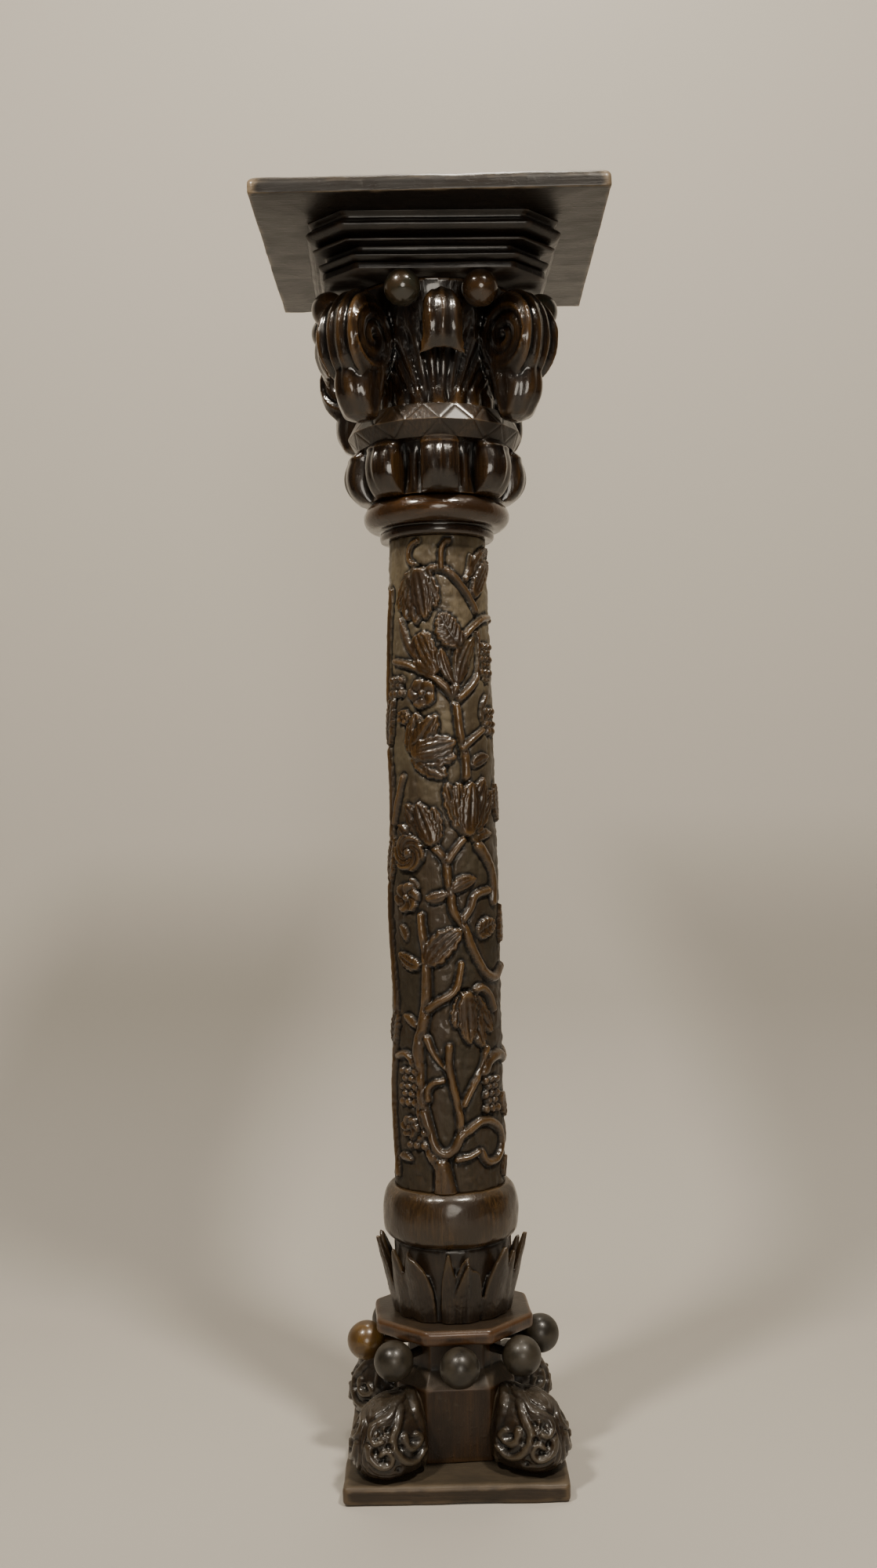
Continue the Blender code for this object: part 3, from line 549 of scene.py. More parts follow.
# Half width and height in metres, then the route of each curl
FOOT_CURLS = [
    (0.0036, 0.0034, [(0.34, 1), (0.43, 0.93), (0.5, 0.84), (0.6, 0.8), (0.71, 0.75), (0.76, 0.64), (0.7, 0.55),
                      (0.61, 0.58)]),
    (0.0040, 0.0034, [(0.37, 0.88), (0.41, 0.72), (0.47, 0.58), (0.42, 0.42), (0.31, 0.29), (0.17, 0.25), (0.06, 0.34)]),
    (0.0034, 0.0034, [(0.78, 0.5), (0.76, 0.36), (0.64, 0.27), (0.52, 0.28), (0.48, 0.38), (0.55, 0.46), (0.63, 0.42)]),
    (0.0032, 0.0030, [(0.32, 0.6), (0.26, 0.46), (0.17, 0.42), (0.1, 0.5), (0.16, 0.58)]),
    (0.0030, 0.0022, [(0.2, 1), (0.13, 0.8), (0.07, 0.62), (0.04, 0.45), (0.06, 0.1)]),
]
FOOT_PITS = [(0.63, 0.68), (0.53, 0.7), (0.6, 0.36), (0.7, 0.45), (0.22, 0.52), (0.36, 0.48), (0.52, 0.52), (0.14, 0.36),
             (0.4, 0.2)]


def foot_side_relief(reach, height):
    """Height of the carving over the sunk ground of a foot's side."""
    relief = np.zeros(reach.shape)
    for shrink in (0.95, 0.85, 0.75, 0.65):
        reed = [((0.4 + (x - 0.4) * shrink) * foot_depth, (0.42 + (z - 0.42) * shrink) * foot_tall)
                for x, z in FOOT_OUTLINE]
        away, along = distance_to_route(reach, height, smooth_route(reed, 0.003))
        ends = np.clip(np.minimum(along, 1 - along) * 9, 0, 1)
        relief = np.maximum(relief, 0.0014 * ends * np.clip(1 - (away / 0.0019) ** 2, 0, 1) ** 0.6)
    for half_width, rise, curl in FOOT_CURLS:
        route = smooth_route([(x * foot_depth, z * foot_tall) for x, z in curl], 0.002)
        away, along = distance_to_route(reach, height, route)
        width = half_width * (1.2 - 0.5 * along)
        relief = np.maximum(relief, rise * np.clip(1 - (away / width) ** 2, 0, 1) ** 0.6)
    for x, z in FOOT_PITS:
        away = np.hypot(reach - x * foot_depth, height - z * foot_tall) / 0.0038
        relief -= 0.003 * np.clip(1 - away ** 2, 0, 1)
    return relief


def carve_scroll_foot(name, angle):
    outward = polar(angle, 1, 0)
    along = polar(angle + math.pi / 2, 1, 0)
    half_plan = smooth_route(FOOT_PLAN, 0.025)
    outline = [(min(p.x, 1), -max(p.y, 0)) for p in half_plan] + [(min(p.x, 1), max(p.y, 0)) for p in half_plan[-2::-1]]
    rings = []
    for level in smooth_route(FOOT_LEVELS, 0.02):
        height = Vector((0, 0, foot_low.z + foot_tall * level.x))
        rings.append([outward * (foot_back + foot_depth * level.y * max(reach, 0))
                      + along * (FOOT_WIDTH / 2 * level.z * side) + height for reach, side in outline])
    foot = ring_body(name, rings)
    places = read_places(foot)
    reach = places @ np.array(outward)
    side = np.abs(places @ np.array(along))
    # The carving is drawn square to the front of the column, from the block to the nose
    root = foot_back - FOOT_WIDTH / 2 * FOOT_PLAN[0][1]
    drawn = (reach - side - root) / (FOOT_REACH - root) * NOSE_SHARE * foot_depth
    carved = foot_side_relief(drawn, places[:, 2] - foot_low.z) - 0.0012
    push_out(foot, np.where(reach > foot_back + 0.001, carved, 0))
    rough_out(foot, 0.0005, 0.006, angle)
    keep_inside(foot, foot_low, foot_high)
    return foot


foot_oak = stained_oak("scroll_foot_oak", (0.011, 0.006, 0.0025), (0.029, 0.016, 0.0065), (0.085, 0.064, 0.038),
                       (0.055, 0.045, 0.029), 0.35, 0.28, 0.55, 0.6)
for corner in range(4):
    foot = carve_scroll_foot(f"scroll_foot_carving_{corner + 1}", math.pi / 4 + corner * math.pi / 2 + BASE_TURN)
    mark_relief(foot, 9, 0.0012)
    settle_piece(foot, f"scroll_foot_{corner + 1}", foot_oak)


# Base balls: eight turned wooden balls, painted a dull grey-brown, round the neck of the
# block, each on a peg let into the wood. The one on the far left has kept an ochre coat.
BASE_BALL_RADIUS = 0.0185
BASE_PEG_LENGTH = 0.0225
PEG_RADIUS = 0.004
base_ball_circle = BLOCK_WIDTH / 2 - BLOCK_SPLAY + BASE_PEG_LENGTH + BASE_BALL_RADIUS


def ball_paint(name, colour, patch, gloss, coat):
    material, tree, shader = new_material(name)
    place = add_node(tree, "TexCoord").outputs["Object"]
    cloudy = between(tree, stretched_noise(tree, place, (70, 70, 70), 3, 0.4), 0.35, 0.65)
    specks = between(tree, stretched_noise(tree, place, (700, 700, 700), 2), 0.6, 0.72)
    lines = stretched_noise(tree, place, (60, 60, 900), 2)
    shade = mix_colour(tree, cloudy, (*colour, 1), (*patch, 1))
    specked = combine(tree, "MULTIPLY", specks, 0.5)
    shade = mix_colour(tree, specked, shade, (colour[0] * 0.3, colour[1] * 0.3, colour[2] * 0.3, 1))
    tree.links.new(shade, shader.inputs["Base Color"])
    rough = add_node(tree, "MapRange", {"Value": cloudy, "To Min": gloss, "To Max": gloss + 0.12}).outputs["Result"]
    tree.links.new(rough, shader.inputs["Roughness"])
    shader.inputs["Coat Weight"].default_value = coat
    shader.inputs["Coat Roughness"].default_value = 0.12
    worn = combine(tree, "ADD", combine(tree, "MULTIPLY", lines, 0.4), specks)
    bump = add_node(tree, "Bump", {"Strength": 0.25, "Distance": 0.0003, "Height": worn})
    tree.links.new(bump.outputs["Normal"], shader.inputs["Normal"])
    return material


def turn_ball(name, radius, peg_length):
    """A ball at the origin with its peg towards -X."""
    clear_selection()
    bpy.ops.mesh.primitive_cylinder_add(vertices=24, radius=PEG_RADIUS, depth=peg_length + radius / 2)
    peg = bpy.context.object
    peg.data.transform(Matrix.Translation((-radius - peg_length / 2 + radius / 4, 0, 0))
                       @ Matrix.Rotation(math.pi / 2, 4, "Y"))
    clear_selection()
    bpy.ops.mesh.primitive_uv_sphere_add(segments=56, ring_count=28, radius=radius)
    ball = start_piece(name)
    ball.data.transform(Matrix.Rotation(math.pi / 2, 4, "Y"))
    apply_modifier(ball, "BOOLEAN", object=peg, operation="UNION", solver="EXACT")
    bpy.data.objects.remove(peg)
    return ball


diagonal_neck_reach = (BLOCK_WIDTH - block_cut) / math.sqrt(2) - BLOCK_SPLAY
ball_models = [turn_ball("base_ball_model", BASE_BALL_RADIUS, BASE_PEG_LENGTH - 0.0003),
               turn_ball("base_ball_model_diagonal", BASE_BALL_RADIUS,
                         base_ball_circle - BASE_BALL_RADIUS - diagonal_neck_reach - 0.0003)]
ball_low, ball_high = room_of("base_ball_1")
base_ball_height = (ball_low.z + ball_high.z) / 2
grey_ball = ball_paint("grey_ball_paint", (0.014, 0.0112, 0.0072), (0.028, 0.022, 0.0135), 0.34, 0.1)
ochre_ball = ball_paint("ochre_ball_paint", (0.11, 0.06, 0.014), (0.06, 0.032, 0.01), 0.25, 0.3)
for number in range(8):
    angle = math.pi / 4 * number + BASE_TURN
    ball = bpy.data.objects.new(f"base_ball_turned_{number + 1}", ball_models[number % 2].data.copy())
    bpy.context.scene.collection.objects.link(ball)
    rough_out(ball, 0.0003, 0.014, number * 2.3)
    ball.data.transform(Matrix.Translation(polar(angle, base_ball_circle, base_ball_height))
                        @ Matrix.Rotation(angle - math.pi / 2, 4, "Z"))
    settle_piece(ball, f"base_ball_{number + 1}", ochre_ball if number == 6 else grey_ball)
for model in ball_models:
    bpy.data.objects.remove(model)


# Cap plate: a thin oak octagon laid on the neck of the block, its upper edge rounded and
# rubbed bright, with dust on top.
PLATE_ACROSS_FLATS = 0.150
plate_low, plate_high = room_of("cap_plate")
clear_selection()
bpy.ops.mesh.primitive_cylinder_add(vertices=8, radius=PLATE_ACROSS_FLATS / 2 / math.cos(math.pi / 8),
                                    depth=plate_high.z - plate_low.z)
plate = start_piece("cap_plate_octagon")
plate.data.transform(Matrix.Translation((0, 0, (plate_low.z + plate_high.z) / 2))
                     @ Matrix.Rotation(BASE_TURN + math.pi / 8, 4, "Z"))
apply_modifier(plate, "BEVEL", width=0.0042, segments=4)
slice_board(plate, plate_low, plate_high, 0.005)
rough_out(plate, 0.0006, 0.02, 5.2)
keep_inside(plate, plate_low, plate_high)
mark_relief(plate, 5, 0.0007)
plate_oak = stained_oak("cap_plate_oak", (0.013, 0.0055, 0.002), (0.03, 0.0135, 0.005), (0.1, 0.046, 0.017),
                        (0.042, 0.033, 0.02), 0.5, 0.28, 0.5, 0.8)
settle_piece(plate, "cap_plate", plate_oak)


# Leaf collar: one turned oak block with a cushion above and a rough neck below it. A crown of
# pointed leaves is carved out of its foot: thick wedges that lean outwards, their faces
# scored with fine gouge lines and their tips knocked and uneven.
COLLAR_FOOT_RADIUS = 0.058
COLLAR_TIP_RADIUS = 0.0765
COLLAR_NECK_RADIUS = 0.0567
CUSHION_RADIUS = 0.0664
CUSHION_HEIGHT = 0.051
COLLAR_VOXEL = 0.00123


def turned_body(name, profile, around):
    return ring_body(name, [[polar(math.tau * i / around, radius, height) for i in range(around)]
                            for radius, height in profile])


def fuse(name, bodies, voxel, smooth_passes):
    """Makes one skin of several closed bodies, as if they had been carved from one block."""
    clear_selection()
    for body in bodies:
        body.select_set(True)
    bpy.context.view_layer.objects.active = bodies[0]
    bpy.ops.object.join()
    piece = start_piece(name)
    apply_modifier(piece, "REMESH", mode="VOXEL", voxel_size=voxel, adaptivity=0)
    bpy.ops.object.mode_set(mode="EDIT")
    bpy.ops.mesh.select_all(action="SELECT")
    bpy.ops.mesh.vertices_smooth(factor=0.5, repeat=smooth_passes)
    bpy.ops.object.mode_set(mode="OBJECT")
    return piece


collar_low, collar_high = room_of("leaf_collar")
cushion_foot = collar_high.z - CUSHION_HEIGHT
profile = [(COLLAR_FOOT_RADIUS - 0.005, collar_low.z), (COLLAR_FOOT_RADIUS - 0.004, collar_low.z + 0.03),
           (COLLAR_NECK_RADIUS - 0.001, collar_low.z + 0.045), (COLLAR_NECK_RADIUS - 0.001, cushion_foot - 0.004),
           (COLLAR_NECK_RADIUS - 0.004, cushion_foot - 0.0015)]
# The cushion's profile: shares of its swell and of its height
for point in smooth_route([(0.2, 0), (0.8, 0.13), (1, 0.4), (0.9, 0.68), (0.6, 0.88), (0.05, 1)], 0.05):
    profile.append((COLLAR_NECK_RADIUS + (CUSHION_RADIUS - COLLAR_NECK_RADIUS) * point.x,
                    cushion_foot + point.y * CUSHION_HEIGHT))
parts = [turned_body("collar_core", profile, 200)]

# Angle in degrees, half width in metres, height and flare of the tip as shares, lean and bluntness
COLLAR_LEAVES = [(-80, 0.013, 1, 1, 0, 0), (-56, 0.0115, 0.93, 0.8, 2, 0.1), (-31, 0.0145, 0.95, 0.75, -6, 0.35),
                 (-3, 0.008, 0.93, 0.6, 0, 0), (15, 0.0125, 0.9, 0.55, 0, 0.8), (44, 0.0145, 0.96, 0.85, 4, 0.1),
                 (62, 0.011, 0.85, 0.7, 0, 0), (80, 0.013, 1, 1, 3, 0), (7, 0.0065, 0.8, 0.85, 6, 0)]
for leaf in range(8):
    COLLAR_LEAVES.append((102 + leaf * 22.4, *((0.0135, 0.98, 0.9) if leaf % 2 else (0.0105, 0.88, 0.7)), 0, 0.1))
LEAF_FOOT_THICKNESS = 0.014
leaf_room = cushion_foot + 0.002 - collar_low.z


def collar_leaf(angle, half_width, tip, flare, lean, blunt):
    """A thick wedge with a straight outer line, a ridge down its middle and scored faces."""
    rings = []
    rows = 24
    across = [k / 14 for k in range(-14, 15)]
    for row in range(rows + 1):
        share = row / rows
        radius = COLLAR_FOOT_RADIUS + (COLLAR_TIP_RADIUS - COLLAR_FOOT_RADIUS) * flare * share
        height = collar_low.z + leaf_room * tip * share
        point = 1 - share ** (2.2 + 5 * blunt)
        width = half_width * point ** 0.8 * (0.92 + 0.2 * math.sin(math.pi * share)) + 0.0008
        centre = math.radians(angle + lean * share ** 2)
        slope = 0.3 * blunt * leaf_room * share ** 6
        ring = []
        for t in across:
            score = 0.0011 * (0.5 - 0.5 * math.cos(math.tau * t * half_width / 0.0031))
            rise = 0.0028 * (1 - abs(t) ** 1.4) * (1 - 0.5 * share) - score
            ring.append(polar(centre + t * width / radius, radius - 0.0028 + rise, height - slope * (t + 1) / 2))
        back = radius - LEAF_FOOT_THICKNESS * (1 - 0.55 * share)
        for t in (0.8, 0, -0.8):
            ring.append(polar(centre + t * width / radius, back, height - slope * (t + 1) / 2))
        rings.append(ring)
    return ring_body("collar_leaf", rings)


parts += [collar_leaf(*leaf) for leaf in COLLAR_LEAVES]
collar = fuse("leaf_collar_carving", parts, COLLAR_VOXEL, 1)
rough_out(collar, 0.0005, 0.012, 2.2)
keep_inside(collar, collar_low, collar_high)
mark_relief(collar, 10, 0.0009)
collar_oak = stained_oak("collar_oak", (0.01, 0.005, 0.0018), (0.027, 0.0145, 0.0055), (0.06, 0.036, 0.013),
                         (0.036, 0.028, 0.016), 0.2, 0.32, 0.4, 0.6)
cushion_oak = stained_oak("cushion_oak", (0.018, 0.0095, 0.0035), (0.06, 0.032, 0.0105), (0.1, 0.058, 0.018),
                          (0.05, 0.038, 0.022), 0.25, 0.26, 0.6, 0.8)
settle_piece(collar, "leaf_collar", collar_oak)
collar.data.materials.append(cushion_oak)
for face in collar.data.polygons:
    face.material_index = int(face.center.z > cushion_foot)


# Shaft: a tapered oak pole carved in low relief. A vine grows from its foot and bears leaves,
# tulip-like flowers, rosettes and berries, warm and glossy over a sunk ground that keeps the
# gouge's facets and the dust. The back carries the same vine, mirrored and plainer.
SHAFT_FOOT_RADIUS = 0.053
SHAFT_TOP_RADIUS = 0.0465
SHAFT_TAPER_POWER = 3
SHAFT_FRONT_COLUMNS = 152
SHAFT_BACK_COLUMNS = 68
SHAFT_ROWS = 445
STEM_WIDTH = 0.0093
STEM_RELIEF = 0.0045
LEAF_RELIEF = 0.0048
TRENCH_WIDTH = 0.0045
TRENCH_DEPTH = 0.0018
BACK_MIDDLE = 172
SEAM_ANGLE = -90
FRONT_END_ANGLE = 96
shaft_low, shaft_high = room_of("shaft")
shaft_height = shaft_high.z - shaft_low.z
around = math.tau * SHAFT_FOOT_RADIUS

# Stems: width at the start and at the end, then angles in degrees and heights as shares
STEMS = [
    (0.8, 0.8, [(-66, 0.02), (-74, 0.14), (-64, 0.28), (-75, 0.43), (-66, 0.58), (-75, 0.74), (-66, 0.92)]),
    (1.9, 0.8, [(-6, 0), (-8, 0.039), (-17, 0.062), (-26, 0.108), (-31, 0.155), (-32, 0.203), (-28, 0.239),
                (-22, 0.279), (-20, 0.335), (-21, 0.369), (-24, 0.393), (-25, 0.419)]),
    (2.4, 1.3, [(-5, 0), (-6, 0.02), (-8, 0.045)]),
    (0.9, 1.0, [(-10, 0.523), (2, 0.502), (4, 0.476), (7, 0.449), (9, 0.426), (20, 0.401), (29, 0.367), (44, 0.331),
                (62, 0.32), (78, 0.332)]),
    (0.8, 0.7, [(5, 0.502), (13, 0.518), (22, 0.534)]),
    (1.3, 0.9, [(40, 0.524), (53, 0.499), (61, 0.472), (61, 0.436)]),
    (0.9, 0.8, [(52, 0.454), (34, 0.448), (28, 0.429), (20, 0.413)]),
    (0.8, 0.6, [(-46, 0.63), (-54, 0.596), (-61, 0.56)]),
    (1.0, 0.9, [(27, 0.629), (27, 0.649), (25, 0.67), (21, 0.692), (19, 0.718), (17, 0.742), (14, 0.751)]),
    (1.0, 0.8, [(15, 0.752), (6, 0.766), (-6, 0.78), (-21, 0.793), (-36, 0.802), (-57, 0.809)]),
    (1.0, 0.7, [(17, 0.754), (18, 0.785), (20, 0.814), (24, 0.833), (36, 0.853), (56, 0.872), (74, 0.877)]),
    (0.9, 0.7, [(21, 0.749), (34, 0.764), (45, 0.783), (49, 0.806), (49, 0.835), (46, 0.849)]),
    (0.8, 0.6, [(24, 0.672), (36, 0.687), (55, 0.704)]),
    (0.8, 0.8, [(-19, 0.94), (-11, 0.946), (1, 0.949), (11, 0.944), (21, 0.933), (30, 0.919), (40, 0.901),
                (46, 0.885)]),
    (0.7, 0.6, [(4, 0.949), (4, 0.965), (5, 0.979), (10, 0.99), (14, 0.991)]),
    (0.7, 0.6, [(-25, 0.952), (-34, 0.963), (-34, 0.98), (-29, 0.989), (-23, 0.992)]),
    (0.7, 0.6, [(34, 0.932), (39, 0.95), (42, 0.967)]),
    (0.9, 0.7, [(-19, 0.277), (-7, 0.289), (6, 0.3), (12, 0.314), (16, 0.345)]),
    (0.9, 0.7, [(32, 0.303), (39, 0.307), (50, 0.295), (57, 0.272)]),
    (0.9, 0.3, [(-21, 0.232), (-14, 0.209), (-2, 0.185)]),
    (0.8, 0.8, [(2, 0.22), (1, 0.194), (5, 0.161), (11, 0.121), (12, 0.085)]),
    (0.9, 0.7, [(44, 0.213), (39, 0.188), (26, 0.159), (16, 0.132)]),
    (1.2, 1.1, [(41, 0.178), (48, 0.195), (65, 0.201), (80, 0.192)]),
    (0.7, 0.6, [(-21, 0.14), (-21, 0.156), (-14, 0.166), (-5, 0.169)]),
    (1.0, 0.8, [(-26, 0.12), (-20, 0.09), (-14, 0.067), (-4, 0.058), (6, 0.067), (12, 0.085), (21, 0.093),
                (35, 0.105), (50, 0.101), (65, 0.083), (68, 0.06), (57, 0.042), (42, 0.042), (35, 0.058)]),
    (0.7, 0.6, [(8, 0.05), (21, 0.053), (31, 0.059)]),
    (0.8, 0.7, [(-62, 0.202), (-48, 0.207), (-40, 0.199), (-38, 0.188)]),
]
# Leaves: foot, tip, half width and height in metres, and how many furrows (0 gives side veins)
LEAVES = [
    ((22, 0.829), (2, 0.879), 0.013, 0.0042, 0), ((-3, 0.787), (-24, 0.848), 0.0135, 0.0046, 4),
    ((-25, 0.81), (-48, 0.878), 0.004, 0.0036, 1),
    ((14, 0.773), (2, 0.826), 0.0055, 0.0036, 1), ((20, 0.773), (42, 0.844), 0.0075, 0.003, 2),
    ((53, 0.708), (60, 0.756), 0.005, 0.0034, 1), ((38, 0.937), (80, 0.987), 0.0065, 0.0038, 2),
    ((43, 0.907), (80, 0.967), 0.009, 0.0042, 3), ((33, 0.646), (59, 0.66), 0.0055, 0.0036, 1),
    ((30, 0.534), (60, 0.542), 0.0055, 0.0032, 1), ((-19, 0.526), (-52, 0.558), 0.0065, 0.004, 2),
    ((8, 0.457), (34, 0.474), 0.0065, 0.0044, 1), ((3, 0.452), (-20, 0.444), 0.005, 0.0036, 1),
    ((-28, 0.46), (-37, 0.476), 0.003, 0.003, 1), ((-18, 0.346), (16, 0.397), 0.0125, 0.0046, 3),
    ((35, 0.388), (62, 0.404), 0.009, 0.0042, 0), ((-27, 0.341), (-55, 0.36), 0.0065, 0.0038, 2),
    ((-52, 0.404), (-43, 0.38), 0.0045, 0.0034, 1), ((-49, 0.267), (-32, 0.248), 0.004, 0.0034, 1),
    ((71, 0.011), (80, 0.041), 0.006, 0.0042, 1), ((-61, 0.049), (-41, 0.047), 0.004, 0.0034, 1),
    ((-72, 0.68), (-62, 0.76), 0.009, 0.004, 0),
    ((-70, 0.22), (-60, 0.27), 0.008, 0.004, 0), ((-72, 0.47), (-62, 0.54), 0.008, 0.004, 0),
    ((84, 0.56), (74, 0.62), 0.01, 0.004, 0), ((62, 0.775), (60, 0.83), 0.008, 0.004, 0),
    ((84, 0.43), (76, 0.37), 0.008, 0.004, 0), ((72, 0.14), (84, 0.1), 0.008, 0.004, 2),
]
# Flowers: foot, then the tips of the petals from the lowest to the one on top, and their half width
FLOWERS = [
    ((-23, 0.95), [(-50, 0.888), (-2, 0.888), (-38, 0.87), (-26, 0.864), (-14, 0.87)], 0.0105),
    ((-32, 0.665), [(5, 0.63), (-26, 0.729), (16, 0.659), (-4, 0.723), (16, 0.682)], 0.0105),
    ((27, 0.539), [(63, 0.608), (4, 0.62), (50, 0.627), (17, 0.62), (32, 0.622)], 0.0102),
    ((-11, 0.526), [(-42, 0.589), (-10, 0.583), (-27, 0.591)], 0.0095),
    ((21, 0.302), [(51, 0.238), (9, 0.248), (39, 0.216), (27, 0.258), (23, 0.223)], 0.009),
]
# Rosettes: centre, radius in metres, petals and how far the gouge cuts wind round
ROSETTES = [((-20, 0.757), 0.0145, 5, 0.1), ((-43, 0.723), 0.0075, 5, 0), ((-39, 0.514), 0.018, 6, 0.55),
            ((-42, 0.446), 0.0145, 6, 0.15), ((-43, 0.097), 0.0105, 6, 0.2)]
BERRIES = [((51, 0.164), (51, 0.121)), ((-44, 0.18), (-44, 0.134)), ((-35, 0.088), (-34, 0.07)),
           ((66, 0.73), (66, 0.70)), ((-55, 0.78), (-55, 0.76)), ((62, 0.83), (60, 0.79))]
BERRY_RADIUS = 0.0042

clear_selection()
bpy.ops.mesh.primitive_grid_add(x_subdivisions=SHAFT_FRONT_COLUMNS + SHAFT_BACK_COLUMNS, y_subdivisions=SHAFT_ROWS,
                                size=1)
shaft = start_piece("shaft_carving")
flat = read_places(shaft)
# The columns stand closer over the carved front than over the plainer back
columns = (flat[:, 0] + 0.5) * (SHAFT_FRONT_COLUMNS + SHAFT_BACK_COLUMNS)
angles = np.interp(columns, [0, SHAFT_FRONT_COLUMNS, SHAFT_FRONT_COLUMNS + SHAFT_BACK_COLUMNS],
                   [SEAM_ANGLE, FRONT_END_ANGLE, SEAM_ANGLE + 360])
arc = np.radians(angles) * SHAFT_FOOT_RADIUS
rise = (flat[:, 1] + 0.5) * shaft_height
relief = np.zeros(arc.shape)


def smooth_lumps(arc, rise, size, seed):
    """Smooth random lumps round the pole, from -1 to 1, that meet at the seam."""
    columns = max(int(around / size), 3)
    rows = int(shaft_height / size) + 3
    lattice = np.random.default_rng(seed).uniform(-1, 1, (rows, columns))
    x = (arc / around) % 1 * columns
    y = rise / size
    left, low = np.floor(x).astype(int) % columns, np.floor(y).astype(int)
    right = (left + 1) % columns
    tx, ty = x - np.floor(x), y - low
    tx, ty = tx * tx * (3 - 2 * tx), ty * ty * (3 - 2 * ty)
    below = lattice[low, left] * (1 - tx) + lattice[low, right] * tx
    above = lattice[low + 1, left] * (1 - tx) + lattice[low + 1, right] * tx
    return below * (1 - ty) + above * ty


def window_round(route, margin):
    xs = [point.x for point in route]
    ys = [point.y for point in route]
    near = (arc > min(xs) - margin) & (arc < max(xs) + margin)
    return np.nonzero(near & (rise > min(ys) - margin) & (rise < max(ys) + margin))[0]


def lay_over(window, outside, height):
    """Sets a shape over what is there and cuts a trench round it; outside is the distance from its edge."""
    trench = TRENCH_DEPTH * np.clip(1 - outside / TRENCH_WIDTH, 0, 1)
    relief[window] = np.where(outside <= 0, height, relief[window] - trench)


def carve_stem(route, start, end):
    window = window_round(route, STEM_WIDTH * 1.5)
    away, along = distance_to_route(arc[window], rise[window], route)
    half = STEM_WIDTH / 2 * (start + (end - start) * along)
    body = STEM_RELIEF * (0.75 + 0.25 * start) * np.sqrt(np.clip(1 - (away / half) ** 2, 0, 1))
    lay_over(window, away - half, np.maximum(body, 0.0016))


def carve_leaf(foot, tip, half_width, height, furrows, bend=0.06):
    """A leaf or petal with steep edges, cut with furrows along it or with veins to each side."""
    window = window_round([foot, tip], half_width * 1.6 + TRENCH_WIDTH)
    run = tip - foot
    length = run.length
    ahead = run / length
    x, y = arc[window] - foot.x, rise[window] - foot.y
    along = (x * ahead.x + y * ahead.y) / length
    across = (x * -ahead.y + y * ahead.x) - bend * length * 4 * along * (1 - along)
    share = np.clip(along, 0.0001, 0.9999)
    blunt = 0.62 if furrows < 4 else 0.3
    outline = half_width * share ** 0.5 * (1 - share) ** blunt / (0.5 ** (0.5 + blunt))
    if furrows != 1:
        outline = outline * (1 + 0.09 * np.sin(share * math.tau * 5))
    outline = np.minimum(outline, half_width) + 0.0004
    beyond = np.maximum(-along, along - 1) * length
    outside = np.maximum(np.abs(across) - outline, beyond)
    edge = np.clip(np.abs(across) / outline, 0, 1)
    if furrows > 1:
        cut = 0.0017 * (0.5 + 0.5 * np.cos(math.pi * across / outline * (furrows + 1))) * np.clip(share * 2, 0, 1)
        body = height * (0.9 + 0.1 * share) - cut
    elif furrows == 1:
        body = height * (0.62 + 0.38 * (1 - edge ** 1.6)) - 0.0008 * np.exp(-((edge - 0.4) / 0.22) ** 2)
    else:
        phase = (along * length - np.abs(across) * 1.1) / 0.006
        body = height * (0.85 + 0.15 * edge) - 0.0011 * np.clip(np.cos(phase * math.tau), 0, 1) * (edge > 0.15)
        body -= 0.0013 * np.exp(-(across / 0.0012) ** 2)
    lay_over(window, outside, body * (0.7 + 0.3 * np.clip((1 - edge) * 5, 0, 1)))


def carve_rosette(centre, radius, petals, wind):
    window = window_round([centre], radius + TRENCH_WIDTH)
    x, y = arc[window] - centre.x, rise[window] - centre.y
    away = np.hypot(x, y)
    turn = np.arctan2(y, x) + wind * math.tau * away / radius
    scallop = np.abs(np.cos(turn * petals / 2))
    rim = radius * (0.86 + 0.14 * scallop)
    body = LEAF_RELIEF * (0.55 + 0.45 * np.clip(away / radius, 0, 1)) - 0.0018 * (1 - scallop ** 0.7)
    boss = LEAF_RELIEF * np.sqrt(np.clip(1.05 - (away / (radius * 0.3)) ** 2, 0, 1))
    lay_over(window, away - rim, np.where(away < radius * 0.3, boss, body))


def carve_berries(top, bottom):
    rows = max(round((top - bottom).length / (BERRY_RADIUS * 1.7)), 1)
    for row in range(rows + 1):
        columns = 2 + (row + 1) % 2
        for column in range(columns):
            place = top.lerp(bottom, row / rows) + Vector(((column - (columns - 1) / 2) * BERRY_RADIUS * 1.9, 0))
            window = window_round([place], BERRY_RADIUS + TRENCH_WIDTH)
            away = np.hypot(arc[window] - place.x, rise[window] - place.y)
            body = 0.001 + 0.0036 * np.sqrt(np.clip(1 - (away / BERRY_RADIUS) ** 2, 0, 1))
            lay_over(window, away - BERRY_RADIUS, body)


for middle, mirror, front in ((BACK_MIDDLE, -1, False), (0, 1, True)):
    def laid_flat(point):
        angle = middle + mirror * point[0]
        return Vector((math.radians(angle) * SHAFT_FOOT_RADIUS, point[1] * shaft_height))

    for start, end, stem in STEMS:
        if front or len(stem) > 3:
            carve_stem(smooth_route([laid_flat(point) for point in stem], 0.004), start, end)
    for i, (foot, tip, half_width, height, furrows) in enumerate(LEAVES):
        if front or i % 2 == 0:
            carve_leaf(laid_flat(foot), laid_flat(tip), half_width, height, furrows if front else 1, 0.06 * mirror)
    if front:
        for top, bottom in BERRIES:
            carve_berries(laid_flat(top), laid_flat(bottom))
        for foot, tips, half_width in FLOWERS:
            for i, tip in enumerate(tips):
                carve_leaf(laid_flat(foot), laid_flat(tip), half_width, LEAF_RELIEF * (0.8 + 0.05 * i), 2, 0)
        for centre, radius, petals, wind in ROSETTES:
            carve_rosette(laid_flat(centre), radius, petals, wind)

